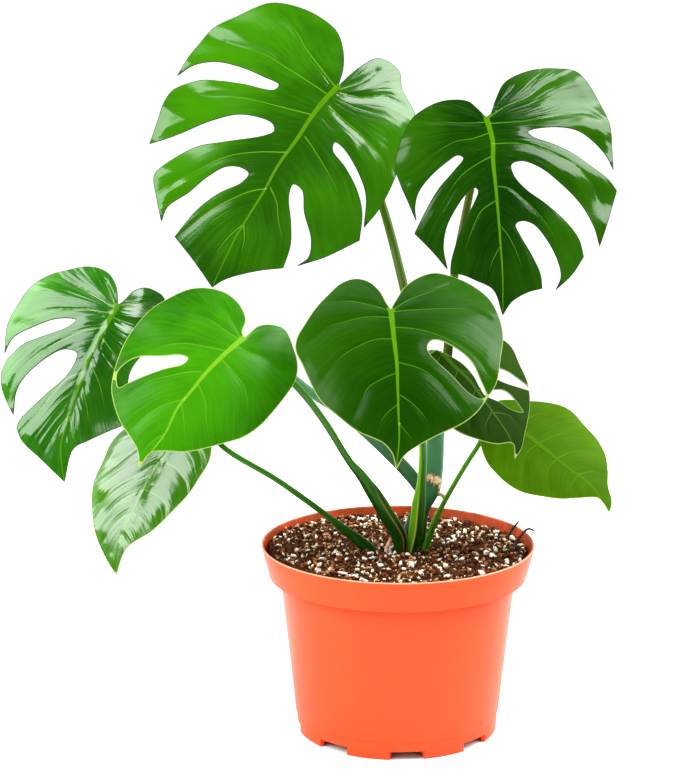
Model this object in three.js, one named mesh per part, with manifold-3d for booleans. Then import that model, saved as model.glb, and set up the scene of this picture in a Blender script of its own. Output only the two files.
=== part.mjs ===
// Potted swiss cheese plant: eight heart-shaped leaves, some cut and holed, on stalks that rise from
// one crown in a nursery pot. Millimetres, +Z up. The origin is on the pot's axis at the level it
// stands on, and the plant's front looks along -Y.
import * as THREE from "three";
import { mergeVertices } from "three/addons/utils/BufferGeometryUtils.js";
import Module from "manifold-3d";

const wasm = await Module();
wasm.setup();

// Driving dimensions
const POT_HEIGHT = 112.6;
const RIM_RADIUS = 80;
const BAND_HEIGHT = 18.6;
const BAND_FOOT_RADIUS = 75.6;
const BODY_TOP_RADIUS = 69;
const BODY_FOOT_RADIUS = 60;
const FOOT_RADIUS = 58.8;
const FOOT_HEIGHT = 10.5;
const FOOT_STEP = 0.7;
const WALL = 1.6;
const FLOOR_UNDERSIDE = 2.5;
const FLOOR_TOP = 4.1;
const NOTCH_COUNT = 8;
const NOTCH_TURN = 4.6;
const NOTCH = { height: 5, inner: 49, outer: 63, innerWidth: 12, outerWidth: 25 };
const POT_SIDES = 48;

const SOIL_LEVEL = 109.3;
const SOIL_FALL = { x: -0.022, y: -0.015 };
const SOIL_BUMP = 0.5;
const SOIL_SHOULDER = 104;
const SOIL_RINGS = [1, 0.92, 0.8, 0.66, 0.5, 0.33, 0.17, 0];
const GRAIN_COUNT = 90;
const GRAIN_SIZE = [1.3, 2.8];
const GRAIN_REACH = 69;
const GRAIN_STEM_GAP = 4.5;

const CLEARANCE = 0.3;
const BLADE_THICKNESS = 1;
const BLADE_CELL = 14;
const OUTLINE_STEP = 6;
const SHEET_EDGE = 3;
const PRISM_REACH = 120;
const STALK_SIDES = 8;
const STALK_STEP = 14;
// The last bend of a stalk, in the leaf's own frame, and where it meets the blade
const STALK_BEND = [-2, 0, -11];
const STALK_END = 3;
const SEAT_REACH = 14;
const SEAT_RISE = 9;

// Leaves. A blade starts where its stalk joins it (at) and ends at tip; face is the way its upper side
// looks. Points are [along the midrib, across it], across being positive to the right of someone who
// looks at the face with the tip down. The margin starts at the stalk and passes the left side, the tip
// and the right side. Each run of its points is one smooth stretch, such as a lobe or both edges of a
// slit, and two runs meet in a sharp corner. arch lifts the middle of the midrib, and drop lowers the
// left and right margins at halfWidth from the midrib.
const LEAVES = [
  {
    name: "top_left",
    colour: 0x3f9a10,
    at: [-35, 55, 373],
    tip: [-107, 2, 264],
    face: [0.06, -0.88, 0.45],
    halfWidth: 76,
    arch: 8,
    drop: [12, 36],
    wave: { height: 1.6, length: 34, shift: 0.4 },
    margin: [
      [[0, 0], [-12, -3.5], [-23, -10], [-32, -19.5], [-35.5, -33.5], [-34.5, -49], [-29, -63.5],
        [-21, -70], [-8.5, -76], [4.5, -83.5], [19.5, -85], [41, -85]],
      [[41, -85], [31, -79.5], [22, -68.5], [18, -54], [17, -39.5], [17, -30], [21.5, -30.5], [27.5, -48],
        [32.5, -61], [37.5, -71.5], [49, -82], [58, -82.5], [70, -80], [85.5, -76.5]],
      [[85.5, -76.5], [70.5, -62.5], [56, -51.5], [46, -41.5], [41.5, -31], [40.5, -20.5], [44, -17],
        [49, -20], [64, -38], [75.5, -52], [91.5, -61], [101, -63.5], [111, -56], [122.5, -45.5]],
      [[122.5, -45.5], [113.5, -47], [100.5, -40.5], [87.5, -36], [77, -30], [73, -22], [74, -16],
        [81, -17], [92, -24.5], [107.5, -31], [126.5, -34]],
      [[126.5, -34], [133.5, -16.5], [141, 0]],
      [[141, 0], [133.5, 4], [120, 16.5], [109.5, 28.5]],
      [[109.5, 28.5], [96.5, 25.5], [86, 19.5], [73.5, 10.5], [66, 9], [66, 15], [76, 22.5], [86.5, 33.5],
        [96, 37.5], [104, 34.5]],
      [[104, 34.5], [91, 44.5], [79.5, 51], [69.5, 56.5]],
      [[69.5, 56.5], [55, 49.5], [46.5, 41], [39.5, 28.5], [35.5, 17.5], [30.5, 16], [30.5, 21.5],
        [36.5, 35], [45, 46], [62, 55]],
      [[62, 55], [47, 56.5], [30.5, 55.5], [14.5, 52.5], [5, 49.5], [-14.5, 45], [-23, 31], [-31.5, 24],
        [-32.5, 15.5], [-30, 9.5], [-21, 5], [-10.5, 2], [0, 0]],
    ],
    holes: [],
    stalk: {
      points: [[19.5, 8, 177], [15, 22, 211], [4, 36, 256], [-9, 58, 303]],
      widths: [3.4, 3, 2.7, 2.5, 2.4, 2.2],
      seat: "stem",
    },
  },
  {
    name: "top_right",
    colour: 0x3c9412,
    at: [50, 28, 358],
    tip: [58, -20, 253],
    face: [0.05, -0.8, 0.6],
    halfWidth: 66,
    arch: 8,
    drop: [12, 12],
    wave: { height: 1.5, length: 32, shift: 0.1 },
    margin: [
      [[0, 0], [-6.5, -4.5], [-11.5, -9], [-13.5, -17], [-12.5, -27], [-5.5, -40], [4.5, -47], [25, -54],
        [37.5, -52], [49.5, -48], [59.5, -45]],
      [[59.5, -45], [51, -45], [43, -42.5], [34.5, -35.5], [26, -25], [22.5, -18.5], [24.5, -15.5],
        [32, -21.5], [42, -31], [55.5, -40], [67, -46.5]],
      [[67, -46.5], [79, -36.5], [89, -29.5]],
      [[89, -29.5], [76.5, -31], [65, -28.5], [56, -23.5], [47, -16.5], [43, -11], [45, -9], [59.5, -16],
        [71, -22], [84.5, -27], [91.5, -28]],
      [[91.5, -28], [92.5, -22], [96.5, -14], [102.5, -4.5], [116.5, 0]],
      [[116.5, 0], [109.5, 5.5], [104.5, 15], [102.5, 23.5]],
      [[102.5, 23.5], [94.5, 23], [83.5, 18.5], [73, 13], [66, 10.5], [64, 14.5], [66, 21], [75.5, 28.5],
        [87.5, 34], [96.5, 35], [103.5, 31.5]],
      [[103.5, 31.5], [94.5, 42], [84.5, 49.5]],
      [[84.5, 49.5], [75.5, 47.5], [65, 40.5], [54.5, 30], [45, 18], [36.5, 12], [30, 11.5], [28, 18],
        [32, 28], [40.5, 38], [54, 50.5], [67, 56.5], [78.5, 59.5]],
      [[78.5, 59.5], [60.5, 67], [45.5, 73]],
      [[45.5, 73], [40, 69], [32, 60], [22.5, 48.5], [16.5, 36], [13, 26.5], [9.5, 23.5], [6.5, 37],
        [8, 52], [14.5, 62], [23, 69], [33, 72]],
      [[33, 72], [18.5, 73.5], [3.5, 73.5], [-8.5, 71], [-22, 65.5], [-32.5, 58], [-34, 47.5], [-33, 34],
        [-29, 22.5], [-23, 13.5], [-10.5, 6.5], [-2.5, 3], [0, 0]],
    ],
    holes: [],
    stalk: {
      points: [[25.5, 3, 177], [28.5, 6, 226], [32, 10, 270], [41, 20, 317]],
      widths: [3.2, 2.8, 2.4, 2.2, 2.1, 1.9],
      seat: "stem",
    },
  },
  {
    name: "left",
    colour: 0x3a8f1c,
    at: [-161, 0, 254],
    tip: [-190, -38, 159],
    face: [-0.12, -0.85, 0.45],
    halfWidth: 55,
    arch: 7,
    drop: [8, 92],
    wave: { height: 1.3, length: 28, shift: 0.2 },
    margin: [
      [[0, 0], [-11, -5.5], [-18, -14], [-19, -25.5], [-14, -38], [-8.5, -47.5], [0, -54.5], [10.5, -59],
        [21.5, -61], [43, -57.5]],
      [[43, -57.5], [34, -55], [24.5, -45], [16.5, -33], [14.5, -21], [20, -24.5], [28, -36], [36.5, -48],
        [46, -54.5]],
      [[46, -54.5], [55.5, -54.5], [65.5, -50.5], [76.5, -40.5]],
      [[76.5, -40.5], [65, -42.5], [54, -40], [41, -31.5], [33, -21.5], [33.5, -13.5], [46, -14.5],
        [61.5, -24.5], [78.5, -35.5], [83.5, -36]],
      [[83.5, -36], [89.5, -31], [96.5, -18], [106, 0]],
      [[106, 0], [87, 0.5], [79.5, 7], [65, 19.5]],
      [[65, 19.5], [50.5, 18], [34.5, 16], [15.5, 20], [-1.5, 21.5], [-14.5, 18.5], [-16, 14.5],
        [-15.5, 9.5], [-11, 5], [-3, 2], [0, 0]],
    ],
    holes: [],
    stalk: {
      points: [
        [15, 4, 141], [6, 3.5, 153.5], [-21, 2, 181], [-35, 1, 192.5], [-50, 0, 202], [-62, 4, 211],
        [-98, 22, 228], [-134, 33, 238],
      ],
      widths: [3.4, 3.8, 3.8, 3.2, 2.6, 2.2, 2.1, 2, 1.9, 1.8],
      seat: "stem",
    },
  },
  {
    name: "front_left",
    colour: 0x3f960f,
    at: [-87, -48, 245],
    tip: [-143, -90, 181],
    face: [0.12, -0.8, 0.6],
    halfWidth: 50,
    arch: 7,
    drop: [9, 12],
    wave: { height: 1, length: 30, shift: 0.6 },
    margin: [
      [[0, 0], [-2, -3], [-10, -6.5], [-16, -15.5], [-17.5, -26.5], [-13.5, -36.5], [-5.5, -44.5],
        [8, -50.5], [20, -52.5], [35.5, -52.5], [49, -49], [63.5, -43], [71, -37], [80.5, -23.5], [84, -14],
        [88, -6], [95, 0]],
      [[95, 0], [91.5, -0.5], [84.5, 0], [80, 4.5], [72.5, 15], [55.5, 28.5], [47, 34], [36.5, 37],
        [23.5, 38], [10.5, 37.5], [0.5, 36], [-7.5, 31.5], [-13.5, 24.5], [-20, 13], [-16.5, 5.5], [-11, 1.5],
        [-3, 0.5], [0, 0]],
    ],
    holes: [
      [[58.5, -43.5], [50, -42.5], [43.5, -38.5], [36.5, -29], [30.5, -21.5], [29.5, -16.5], [34, -16.5],
        [41.5, -22.5], [53.5, -30.5], [60, -34.5], [65, -37.5]],
    ],
    stalk: {
      points: [
        [1, -9, 101], [1, -9, 109], [0, -10, 119], [-8, -13, 134], [-16, -16, 148.5], [-22, -19, 158.5],
        [-28, -22, 166.5], [-43.5, -29, 193.5], [-58, -35, 214],
      ],
      widths: [2.8, 3.2, 4.2, 4.1, 3.7, 2.9, 2.1, 1.9, 2, 1.9, 1.8],
    },
  },
  {
    name: "front",
    colour: 0x2f8a08,
    at: [-6, -58, 263],
    tip: [-4, -118, 188],
    face: [0, -0.7, 0.7],
    halfWidth: 60,
    arch: 8,
    drop: [10, 12],
    wave: { height: 1, length: 36, shift: 0.3 },
    margin: [
      [[0, 0], [-4, -2], [-15, -6], [-23.5, -12.5], [-26, -19.5], [-23, -27], [-15.5, -33.5], [-6, -40.5],
        [5.5, -47], [14, -51.5], [22.5, -52.5], [33, -49], [55.5, -39.5], [65, -31], [74.5, -20.5],
        [82.5, -6], [88.5, -1.5], [96, 0]],
      [[96, 0], [89, 4.5], [83.5, 12], [77.5, 22.5], [70, 36.5], [63.5, 44], [54, 50.5], [44.5, 56],
        [29, 59], [12.5, 61.5], [-1.5, 59.5], [-14.5, 55], [-23.5, 46.5], [-29, 36], [-31, 26], [-26.5, 17],
        [-17.5, 8.5], [-7.5, 3.5], [0, 0]],
    ],
    holes: [
      [[25, 19], [21, 21.5], [20.5, 26], [26.5, 36.5], [33.5, 43], [43, 47], [53, 50], [55, 47], [52.5, 41],
        [42, 31], [35, 24], [29, 19.5]],
    ],
    stalk: {
      points: [
        [8, -9, 101], [8, -9, 109], [10.8, -12, 123.5], [12, -15, 139.5], [13, -20, 155.5], [13, -28, 178.5],
        [6, -41, 222],
      ],
      widths: [2.6, 3, 4.1, 3.7, 2.6, 2.1, 2, 2, 1.9],
    },
  },
  {
    name: "low_left",
    colour: 0x4a9a20,
    at: [-123, 8, 190],
    tip: [-163, -24, 100],
    face: [-0.45, -0.75, 0.45],
    halfWidth: 36,
    arch: 6,
    drop: [6, 8],
    wave: { height: 0.8, length: 26, shift: 0 },
    margin: [
      [[0, 0], [0.5, -12.5], [7, -25], [23, -38], [38.5, -42.5], [55.5, -42], [70, -38], [80, -30.5],
        [89, -22], [97.5, -10.5], [103.5, 0]],
      [[103.5, 0], [87.5, 1.5], [72.5, 13], [52.5, 22.5], [37, 26.5], [24, 27.5], [15, 25], [2.5, 20],
        [-4, 7.5], [0, 0]],
    ],
    holes: [],
    stalk: {
      points: [
        [-10.5, -8, 101], [-12.5, -8, 106.5], [-20.5, -8, 113.8], [-31, -8, 122.3], [-42, -8, 131.4],
        [-70.4, -5, 151.6], [-102, 0, 170.5],
      ],
      widths: [2.6, 3, 3.4, 2.6, 1.8, 1.7, 1.7, 1.7, 1.6],
    },
  },
  {
    name: "behind_right",
    colour: 0x24660a,
    at: [22, -20, 233],
    tip: [64, -48, 176],
    face: [0.45, -0.75, 0.45],
    halfWidth: 36,
    arch: 6,
    drop: [6, 8],
    wave: { height: 0.8, length: 24, shift: 0.5 },
    margin: [
      [[0, 0], [2.5, -12], [18, -24.5], [35, -26.5], [45.5, -24.5], [58.5, -14], [64.5, -6.5], [69, 3.5],
        [76.5, 0]],
      [[76.5, 0], [73, 8], [66.5, 15.5], [52, 32.5], [38.5, 40.5], [29.5, 44.5], [12, 47.5], [-5.5, 34.5],
        [-8.5, 15], [0, 0]],
    ],
    holes: [
      [[-7.5, 2], [-5, 9], [4.5, 14.5], [15.5, 15.5], [26, 12], [35, 5.5], [33, 4], [25, 5.5], [15.5, 5],
        [6.5, 1.5], [1, -1.5]],
      [[20.5, 23], [26.5, 27], [31, 32], [38, 35], [46, 38], [39, 26], [32.5, 19.5], [25.5, 16.5]],
      [[32.5, 5], [36.5, 10.5], [40, 18.5], [46, 21.5], [55.5, 22.5], [51.5, 15], [45.5, 10.5], [37, 3.5]],
    ],
    stalk: {
      points: [[19, -2, 177], [20.5, -4, 196], [22, -6, 214]],
      widths: [2.2, 2, 1.9, 1.8, 1.7],
      seat: "stem",
    },
  },
  {
    name: "low_right",
    colour: 0x679f10,
    at: [58, 0, 189],
    tip: [121, -22, 137],
    face: [0.1, -0.7, 0.7],
    halfWidth: 34,
    arch: 6,
    drop: [5, 6],
    wave: { height: 0.8, length: 26, shift: 0.2 },
    margin: [
      [[0, 0], [-2, -10.5], [2.5, -20], [12, -27], [19.5, -29.5], [29, -31], [40, -28.5], [50, -23],
        [58.5, -16.5], [66.5, -7.5], [74.5, 1], [80.5, 1], [84.5, 0]],
      [[84.5, 0], [81.5, 6], [74, 11.5], [68, 19.5], [61, 26.5], [52.5, 30], [42, 32.5], [31.5, 34],
        [22, 32.5], [14.5, 28], [7, 21], [-5.5, 9.5], [-6.5, 5.5], [0, 0]],
    ],
    holes: [],
    stalk: {
      points: [
        [15, -5, 101], [15.8, -5, 108], [19.6, -5, 121.4], [24.6, -5, 134.1], [31.6, -4, 147.1],
        [40, -3, 161.6],
        [46.6, -2, 172],
      ],
      widths: [1.9, 2.1, 1.8, 1.6, 1.5, 1.5, 1.5, 1.5, 1.4],
    },
  },
];

// The crown stem: thin at the soil, sheathed from its node up to where the upper stalks fork.
const STEM = {
  sides: 10,
  points: [[13, 4, 101], [13, 4, 108], [15.3, 4, 131], [20, 4, 143], [21.2, 4, 156], [21.5, 3.5, 178]],
  widths: [2.8, 3, 3.2, 4.4, 5.2, 5.3],
};
// Small growths at the crown
const AERIAL_ROOT = {
  points: [
    [22, 4, 140.5],
    [25.4, 3, 140.4],
    [27.2, 1.2, 138.4],
    [25.8, 0.8, 135],
    [21.1, 2, 127],
    [19, 3, 117],
    [18.6, 3, 106],
  ],
  widths: [1.2, 1.2, 1.2, 1.1, 1, 0.9, 0.8],
};
const SHOOT = {
  points: [[4.5, -1, 102], [4.7, -1, 114], [5.3, -1, 122], [7, -1, 130.6]],
  widths: [2, 2.3, 1.9, 0.4],
};
const ROOT_PEG = {
  points: [[-3.9, -10, 117.6], [-6, -11, 113.8], [-8.2, -12.1, 105]],
  widths: [1, 1.3, 1.2],
};
const DRIED_SHEATH = {
  bottom: [19.4, 4, 141.5],
  top: [21.2, 4, 155],
  radius: 5.8,
  arc: [-130, 5],
  thickness: 0.7,
};
// Loose root ends on the soil at the right rim
const TWIGS = [
  { points: [[64, 22, 106], [68.7, 20, 115], [72.2, 20, 119.5]], widths: [0.9, 0.8, 0.5] },
  { points: [[67, 3, 106], [72, 5, 114.6], [77, 5, 119.4], [80.6, 5, 117.6]], widths: [1, 0.9, 0.7, 0.4] },
];

// A number from 0 to 1 that depends only on the seed's count
function seededDraw(seed) {
  let state = seed;
  return () => {
    state = (state * 1664525 + 1013904223) % 4294967296;
    return state / 4294967296;
  };
}

// The closed solid of a geometry, its shared corners merged and its collapsed faces dropped
function solid(geometry) {
  const bare = new THREE.BufferGeometry().setAttribute("position", geometry.getAttribute("position").clone());
  if (geometry.index) bare.setIndex(geometry.index.clone());
  const merged = mergeVertices(bare, 1e-3);
  const corners = merged.index.array;
  const kept = [];
  for (let i = 0; i < corners.length; i += 3) {
    const [a, b, c] = [corners[i], corners[i + 1], corners[i + 2]];
    if (a !== b && b !== c && a !== c) kept.push(a, b, c);
  }
  const build = (triangles) =>
    new wasm.Manifold(
      new wasm.Mesh({
        numProp: 3,
        vertProperties: merged.attributes.position.array,
        triVerts: new Uint32Array(triangles),
      }),
    );
  const made = build(kept);
  return made.volume() > 0 ? made : build(kept.toReversed());
}

// The largest body of a solid, without loose scraps
function mainBody(made) {
  const bodies = made.decompose();
  return bodies.reduce((best, body) => (body.volume() > best.volume() ? body : best));
}

function geometryOf(made) {
  const mesh = made.getMesh();
  const positions = new Float32Array(mesh.numVert * 3);
  for (let i = 0; i < mesh.numVert; i++) {
    positions.set(mesh.vertProperties.subarray(i * mesh.numProp, i * mesh.numProp + 3), i * 3);
  }
  const geometry = new THREE.BufferGeometry()
    .setAttribute("position", new THREE.BufferAttribute(positions, 3))
    .setIndex(new THREE.BufferAttribute(new Uint32Array(mesh.triVerts), 1))
    .toNonIndexed();
  geometry.computeVertexNormals();
  return geometry;
}

function meshOf(name, made, colour, roughness) {
  const material = new THREE.MeshStandardMaterial({ color: colour, roughness, metalness: 0 });
  const mesh = new THREE.Mesh(geometryOf(made), material);
  mesh.name = name;
  return mesh;
}

const vectors = (points) => points.map((p) => new THREE.Vector3(...p));

// A value read along a list at equal steps
function along(values, share) {
  const place = THREE.MathUtils.clamp(share, 0, 1) * (values.length - 1);
  const i = Math.min(Math.floor(place), values.length - 2);
  return THREE.MathUtils.lerp(values[i], values[i + 1], place - i);
}

// A tapering round tube: a cylinder bent along the curve, its half-widths given at the control points
function bentTube(points, widths, sides, grow = 0) {
  const curve = new THREE.CatmullRomCurve3(vectors(points), false, "centripetal");
  const rings = Math.max(points.length, Math.round(curve.getLength() / STALK_STEP) + 2);
  const geometry = new THREE.CylinderGeometry(1, 1, 1, sides, rings);
  const place = geometry.getAttribute("position");
  const depthways = new THREE.Vector3(0, 1, 0);
  for (let i = 0; i < place.count; i++) {
    const share = place.getY(i) + 0.5;
    const middle = curve.getPoint(share);
    const tangent = curve.getTangent(share);
    const side = new THREE.Vector3().crossVectors(tangent, depthways).normalize();
    const depth = new THREE.Vector3().crossVectors(side, tangent);
    const reach = along(widths, share) + grow;
    middle.addScaledVector(side, place.getX(i) * reach).addScaledVector(depth, place.getZ(i) * reach);
    if (share === 0) middle.addScaledVector(tangent, -grow);
    if (share === 1) middle.addScaledVector(tangent, grow);
    place.setXYZ(i, middle.x, middle.y, middle.z);
  }
  return solid(geometry);
}

// Blades

// The place and turn of a leaf: x along the midrib, y across to the right, z out of the face
function leafMatrix(leaf) {
  const start = new THREE.Vector3(...leaf.at);
  const midrib = new THREE.Vector3(...leaf.tip).sub(start).normalize();
  const face = new THREE.Vector3(...leaf.face);
  face.addScaledVector(midrib, -face.dot(midrib)).normalize();
  const across = new THREE.Vector3().crossVectors(face, midrib);
  return new THREE.Matrix4().makeBasis(midrib, across, face).setPosition(start);
}

const leafLength = (leaf) => new THREE.Vector3(...leaf.tip).distanceTo(new THREE.Vector3(...leaf.at));

// The blade's height over its flat plane
function bladeHeight(leaf, u, v) {
  const share = u / leafLength(leaf);
  const spread = Math.abs(v) / leaf.halfWidth;
  const arch = leaf.arch * 4 * share * (1 - share);
  const drop = leaf.drop[v < 0 ? 0 : 1] * spread ** 1.5;
  const turn = (u / leaf.wave.length + leaf.wave.shift) * 2 * Math.PI;
  return arch - drop + leaf.wave.height * Math.sin(turn) * Math.min(spread, 1) ** 2;
}

// A point at a distance from the blade's middle surface, measured square to it
function bladePoint(leaf, u, v, offset) {
  const d = 0.05;
  const slopeU = (bladeHeight(leaf, u + d, v) - bladeHeight(leaf, u - d, v)) / (2 * d);
  const slopeV = (bladeHeight(leaf, u, v + d) - bladeHeight(leaf, u, v - d)) / (2 * d);
  const normal = new THREE.Vector3(-slopeU, -slopeV, 1).normalize();
  return new THREE.Vector3(u, v, bladeHeight(leaf, u, v)).addScaledVector(normal, offset);
}

// A curved sheet over a rectangle of the leaf's plane, its two faces split into triangles alike
function sheet(leaf, low, high, corner, size, cell) {
  const columns = Math.ceil(size[0] / cell);
  const rows = Math.ceil(size[1] / cell);
  const points = [];
  const triangles = [];
  for (const offset of [low, high]) {
    for (let i = 0; i <= columns; i++) {
      for (let j = 0; j <= rows; j++) {
        const u = corner[0] + (size[0] * i) / columns;
        const v = corner[1] + (size[1] * j) / rows;
        points.push(bladePoint(leaf, u, v, offset));
      }
    }
  }
  const layer = (columns + 1) * (rows + 1);
  const at = (i, j, top) => i * (rows + 1) + j + (top ? layer : 0);
  const quad = (a, b, c, d) => triangles.push(a, b, c, a, c, d);
  for (let i = 0; i < columns; i++) {
    for (let j = 0; j < rows; j++) {
      const ring = [at(i, j), at(i + 1, j), at(i + 1, j + 1), at(i, j + 1)];
      quad(...ring.map((n) => n + layer));
      triangles.push(ring[0], ring[2], ring[1], ring[0], ring[3], ring[2]);
    }
  }
  for (let i = 0; i < columns; i++) {
    quad(at(i, 0), at(i + 1, 0), at(i + 1, 0, true), at(i, 0, true));
    quad(at(i + 1, rows), at(i, rows), at(i, rows, true), at(i + 1, rows, true));
  }
  for (let j = 0; j < rows; j++) {
    quad(at(columns, j), at(columns, j + 1), at(columns, j + 1, true), at(columns, j, true));
    quad(at(0, j + 1), at(0, j), at(0, j, true), at(0, j + 1, true));
  }
  return new THREE.BufferGeometry().setFromPoints(points).setIndex(triangles);
}

// Points along a smooth curve through the given ones, which it keeps; the last one is left out
function smoothPoints(points, closed) {
  const placed = points.map(([u, v]) => new THREE.Vector3(u, v, 0));
  const curve = new THREE.CatmullRomCurve3(placed, closed, "centripetal");
  const spans = closed ? points.length : points.length - 1;
  const made = [];
  for (let i = 0; i < spans; i++) {
    const [a, b] = [points[i], points[(i + 1) % points.length]];
    const steps = Math.max(1, Math.round(Math.hypot(b[0] - a[0], b[1] - a[1]) / OUTLINE_STEP));
    for (let k = 0; k < steps; k++) {
      const place = curve.getPoint((i + k / steps) / spans);
      made.push(new THREE.Vector2(place.x, place.y));
    }
  }
  return made;
}

const marginShape = (leaf) => new THREE.Shape(leaf.margin.flatMap((run) => smoothPoints(run, false)));

// A prism of a flat shape that passes right through the blade
function prism(shape) {
  const geometry = new THREE.ExtrudeGeometry(shape, { depth: 2 * PRISM_REACH, bevelEnabled: false });
  return solid(geometry.translate(0, 0, -PRISM_REACH));
}

// The uncut sheet that a blade is taken from
function bladeSheet(leaf, low, high) {
  const box = new THREE.Box2().setFromPoints(marginShape(leaf).getPoints()).expandByScalar(SHEET_EDGE);
  const size = box.getSize(new THREE.Vector2());
  return sheet(leaf, low, high, box.min.toArray(), size.toArray(), BLADE_CELL);
}

function bladeSolid(leaf) {
  const half = BLADE_THICKNESS / 2;
  let made = solid(bladeSheet(leaf, -half, half)).intersect(prism(marginShape(leaf)));
  for (const hole of leaf.holes) made = made.subtract(prism(new THREE.Shape(smoothPoints(hole, true))));
  return mainBody(made);
}

// Stalks

// A stalk's middle line: its own points, then up to the blade from behind
function stalkLine(leaf) {
  const place = leafMatrix(leaf);
  const behind = new THREE.Vector3(...STALK_BEND).applyMatrix4(place);
  const seat = bladePoint(leaf, STALK_END, 0, 0).applyMatrix4(place);
  return [...leaf.stalk.points, behind.toArray(), seat.toArray()];
}

// What the stalk's top is cut back from: the blade and the clearance under it
function bladeSeat(leaf) {
  const patch = new THREE.BoxGeometry(2 * SEAT_REACH, 2 * SEAT_REACH, 2 * PRISM_REACH);
  const cut = solid(bladeSheet(leaf, -BLADE_THICKNESS / 2 - CLEARANCE, SEAT_RISE)).intersect(solid(patch));
  return solid(geometryOf(cut).applyMatrix4(leafMatrix(leaf)));
}

function stalkSolid(leaf, stemCut) {
  let made = bentTube(stalkLine(leaf), leaf.stalk.widths, STALK_SIDES).subtract(bladeSeat(leaf));
  if (leaf.stalk.seat === "stem") made = made.subtract(stemCut);
  return mainBody(made);
}

// A papery scrap that wraps part of the crown stem: a bent box with a ragged lower edge
function driedSheath({ bottom, top, radius, arc, thickness }) {
  const geometry = new THREE.BoxGeometry(1, 1, 1, 12, 1, 3);
  const place = geometry.getAttribute("position");
  const [low, high] = [new THREE.Vector3(...bottom), new THREE.Vector3(...top)];
  for (let i = 0; i < place.count; i++) {
    const share = place.getX(i) + 0.5;
    const turn = THREE.MathUtils.degToRad(THREE.MathUtils.lerp(arc[0], arc[1], share));
    const rise = place.getZ(i) + 0.5;
    const ragged = (1 - rise) * (0.35 + 0.3 * Math.sin(share * 9));
    const middle = low.clone().lerp(high, rise + ragged * 0.6);
    const reach = radius + place.getY(i) * thickness + (1 - rise) * 0.8;
    place.setXYZ(i, middle.x + reach * Math.cos(turn), middle.y + reach * Math.sin(turn), middle.z);
  }
  return solid(geometry);
}

// Pot

function potSolid() {
  const bandFoot = POT_HEIGHT - BAND_HEIGHT;
  const profile = [
    [0, FLOOR_UNDERSIDE],
    [FOOT_RADIUS - 2.4, FLOOR_UNDERSIDE],
    [FOOT_RADIUS - 1.8, 0],
    [FOOT_RADIUS, 0],
    [BODY_FOOT_RADIUS - FOOT_STEP, FOOT_HEIGHT],
    [BODY_FOOT_RADIUS, FOOT_HEIGHT + 0.5],
    [BODY_TOP_RADIUS, bandFoot - 0.4],
    [BAND_FOOT_RADIUS, bandFoot],
    [RIM_RADIUS, POT_HEIGHT - 0.6],
    [RIM_RADIUS - 0.5, POT_HEIGHT],
    [RIM_RADIUS - WALL - 0.2, POT_HEIGHT],
    [BAND_FOOT_RADIUS - WALL, bandFoot + 1.6],
    [BODY_TOP_RADIUS - WALL, bandFoot + 1.2],
    [FOOT_RADIUS - WALL + 0.4, FLOOR_TOP],
    [0, FLOOR_TOP],
  ].map(([x, y]) => new THREE.Vector2(x, y));
  let made = solid(new THREE.LatheGeometry(profile, POT_SIDES).rotateX(Math.PI / 2));
  const { height, inner, outer, innerWidth, outerWidth } = NOTCH;
  const plan = new THREE.Shape(
    [[inner, -innerWidth], [outer, -outerWidth], [outer, outerWidth], [inner, innerWidth]].map(
      ([x, y]) => new THREE.Vector2(x, y / 2),
    ),
  );
  for (let i = 0; i < NOTCH_COUNT; i++) {
    const turn = THREE.MathUtils.degToRad(-90 + NOTCH_TURN + (i * 360) / NOTCH_COUNT);
    const cut = new THREE.ExtrudeGeometry(plan, { depth: height + 1, bevelEnabled: false });
    made = made.subtract(solid(cut.translate(0, 0, -1).rotateZ(turn)));
  }
  return made;
}

// Soil

function soilHeight(x, y) {
  const across = Math.sin(x * 0.41 + y * 0.13);
  const along = Math.sin(y * 0.37 - x * 0.19 + 1.3);
  const slanting = Math.sin((x + y) * 0.27 + 4);
  return SOIL_LEVEL + SOIL_FALL.x * x + SOIL_FALL.y * y + (SOIL_BUMP * (across + along + slanting)) / 2;
}

// The soil's own shape: the pot's inside, less the clearance, under an uneven top
function soilBody() {
  const bandFoot = POT_HEIGHT - BAND_HEIGHT;
  const inside = (radius) => radius - WALL - CLEARANCE - 0.2;
  const shoulder = bandFoot + 2.2;
  const slant = (RIM_RADIUS - BAND_FOOT_RADIUS) / BAND_HEIGHT;
  const reach = inside(BAND_FOOT_RADIUS) + slant * (SOIL_SHOULDER - bandFoot) - 0.4;
  const profile = [
    [0, FLOOR_TOP + CLEARANCE],
    [inside(FOOT_RADIUS), FLOOR_TOP + CLEARANCE],
    [inside(BODY_TOP_RADIUS), shoulder],
    [inside(BAND_FOOT_RADIUS), shoulder],
    [reach, SOIL_SHOULDER],
  ];
  for (const ring of SOIL_RINGS) profile.push([ring * (reach + slant * 2), SOIL_SHOULDER + 1]);
  const geometry = new THREE.LatheGeometry(profile.map(([x, y]) => new THREE.Vector2(x, y)), POT_SIDES);
  geometry.rotateX(Math.PI / 2);
  const place = geometry.getAttribute("position");
  for (let i = 0; i < place.count; i++) {
    if (Math.abs(place.getZ(i)) > SOIL_SHOULDER + 0.5) {
      const [x, y] = [place.getX(i), place.getY(i)];
      place.setZ(i, soilHeight(x, y));
    }
  }
  return solid(geometry);
}

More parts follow.
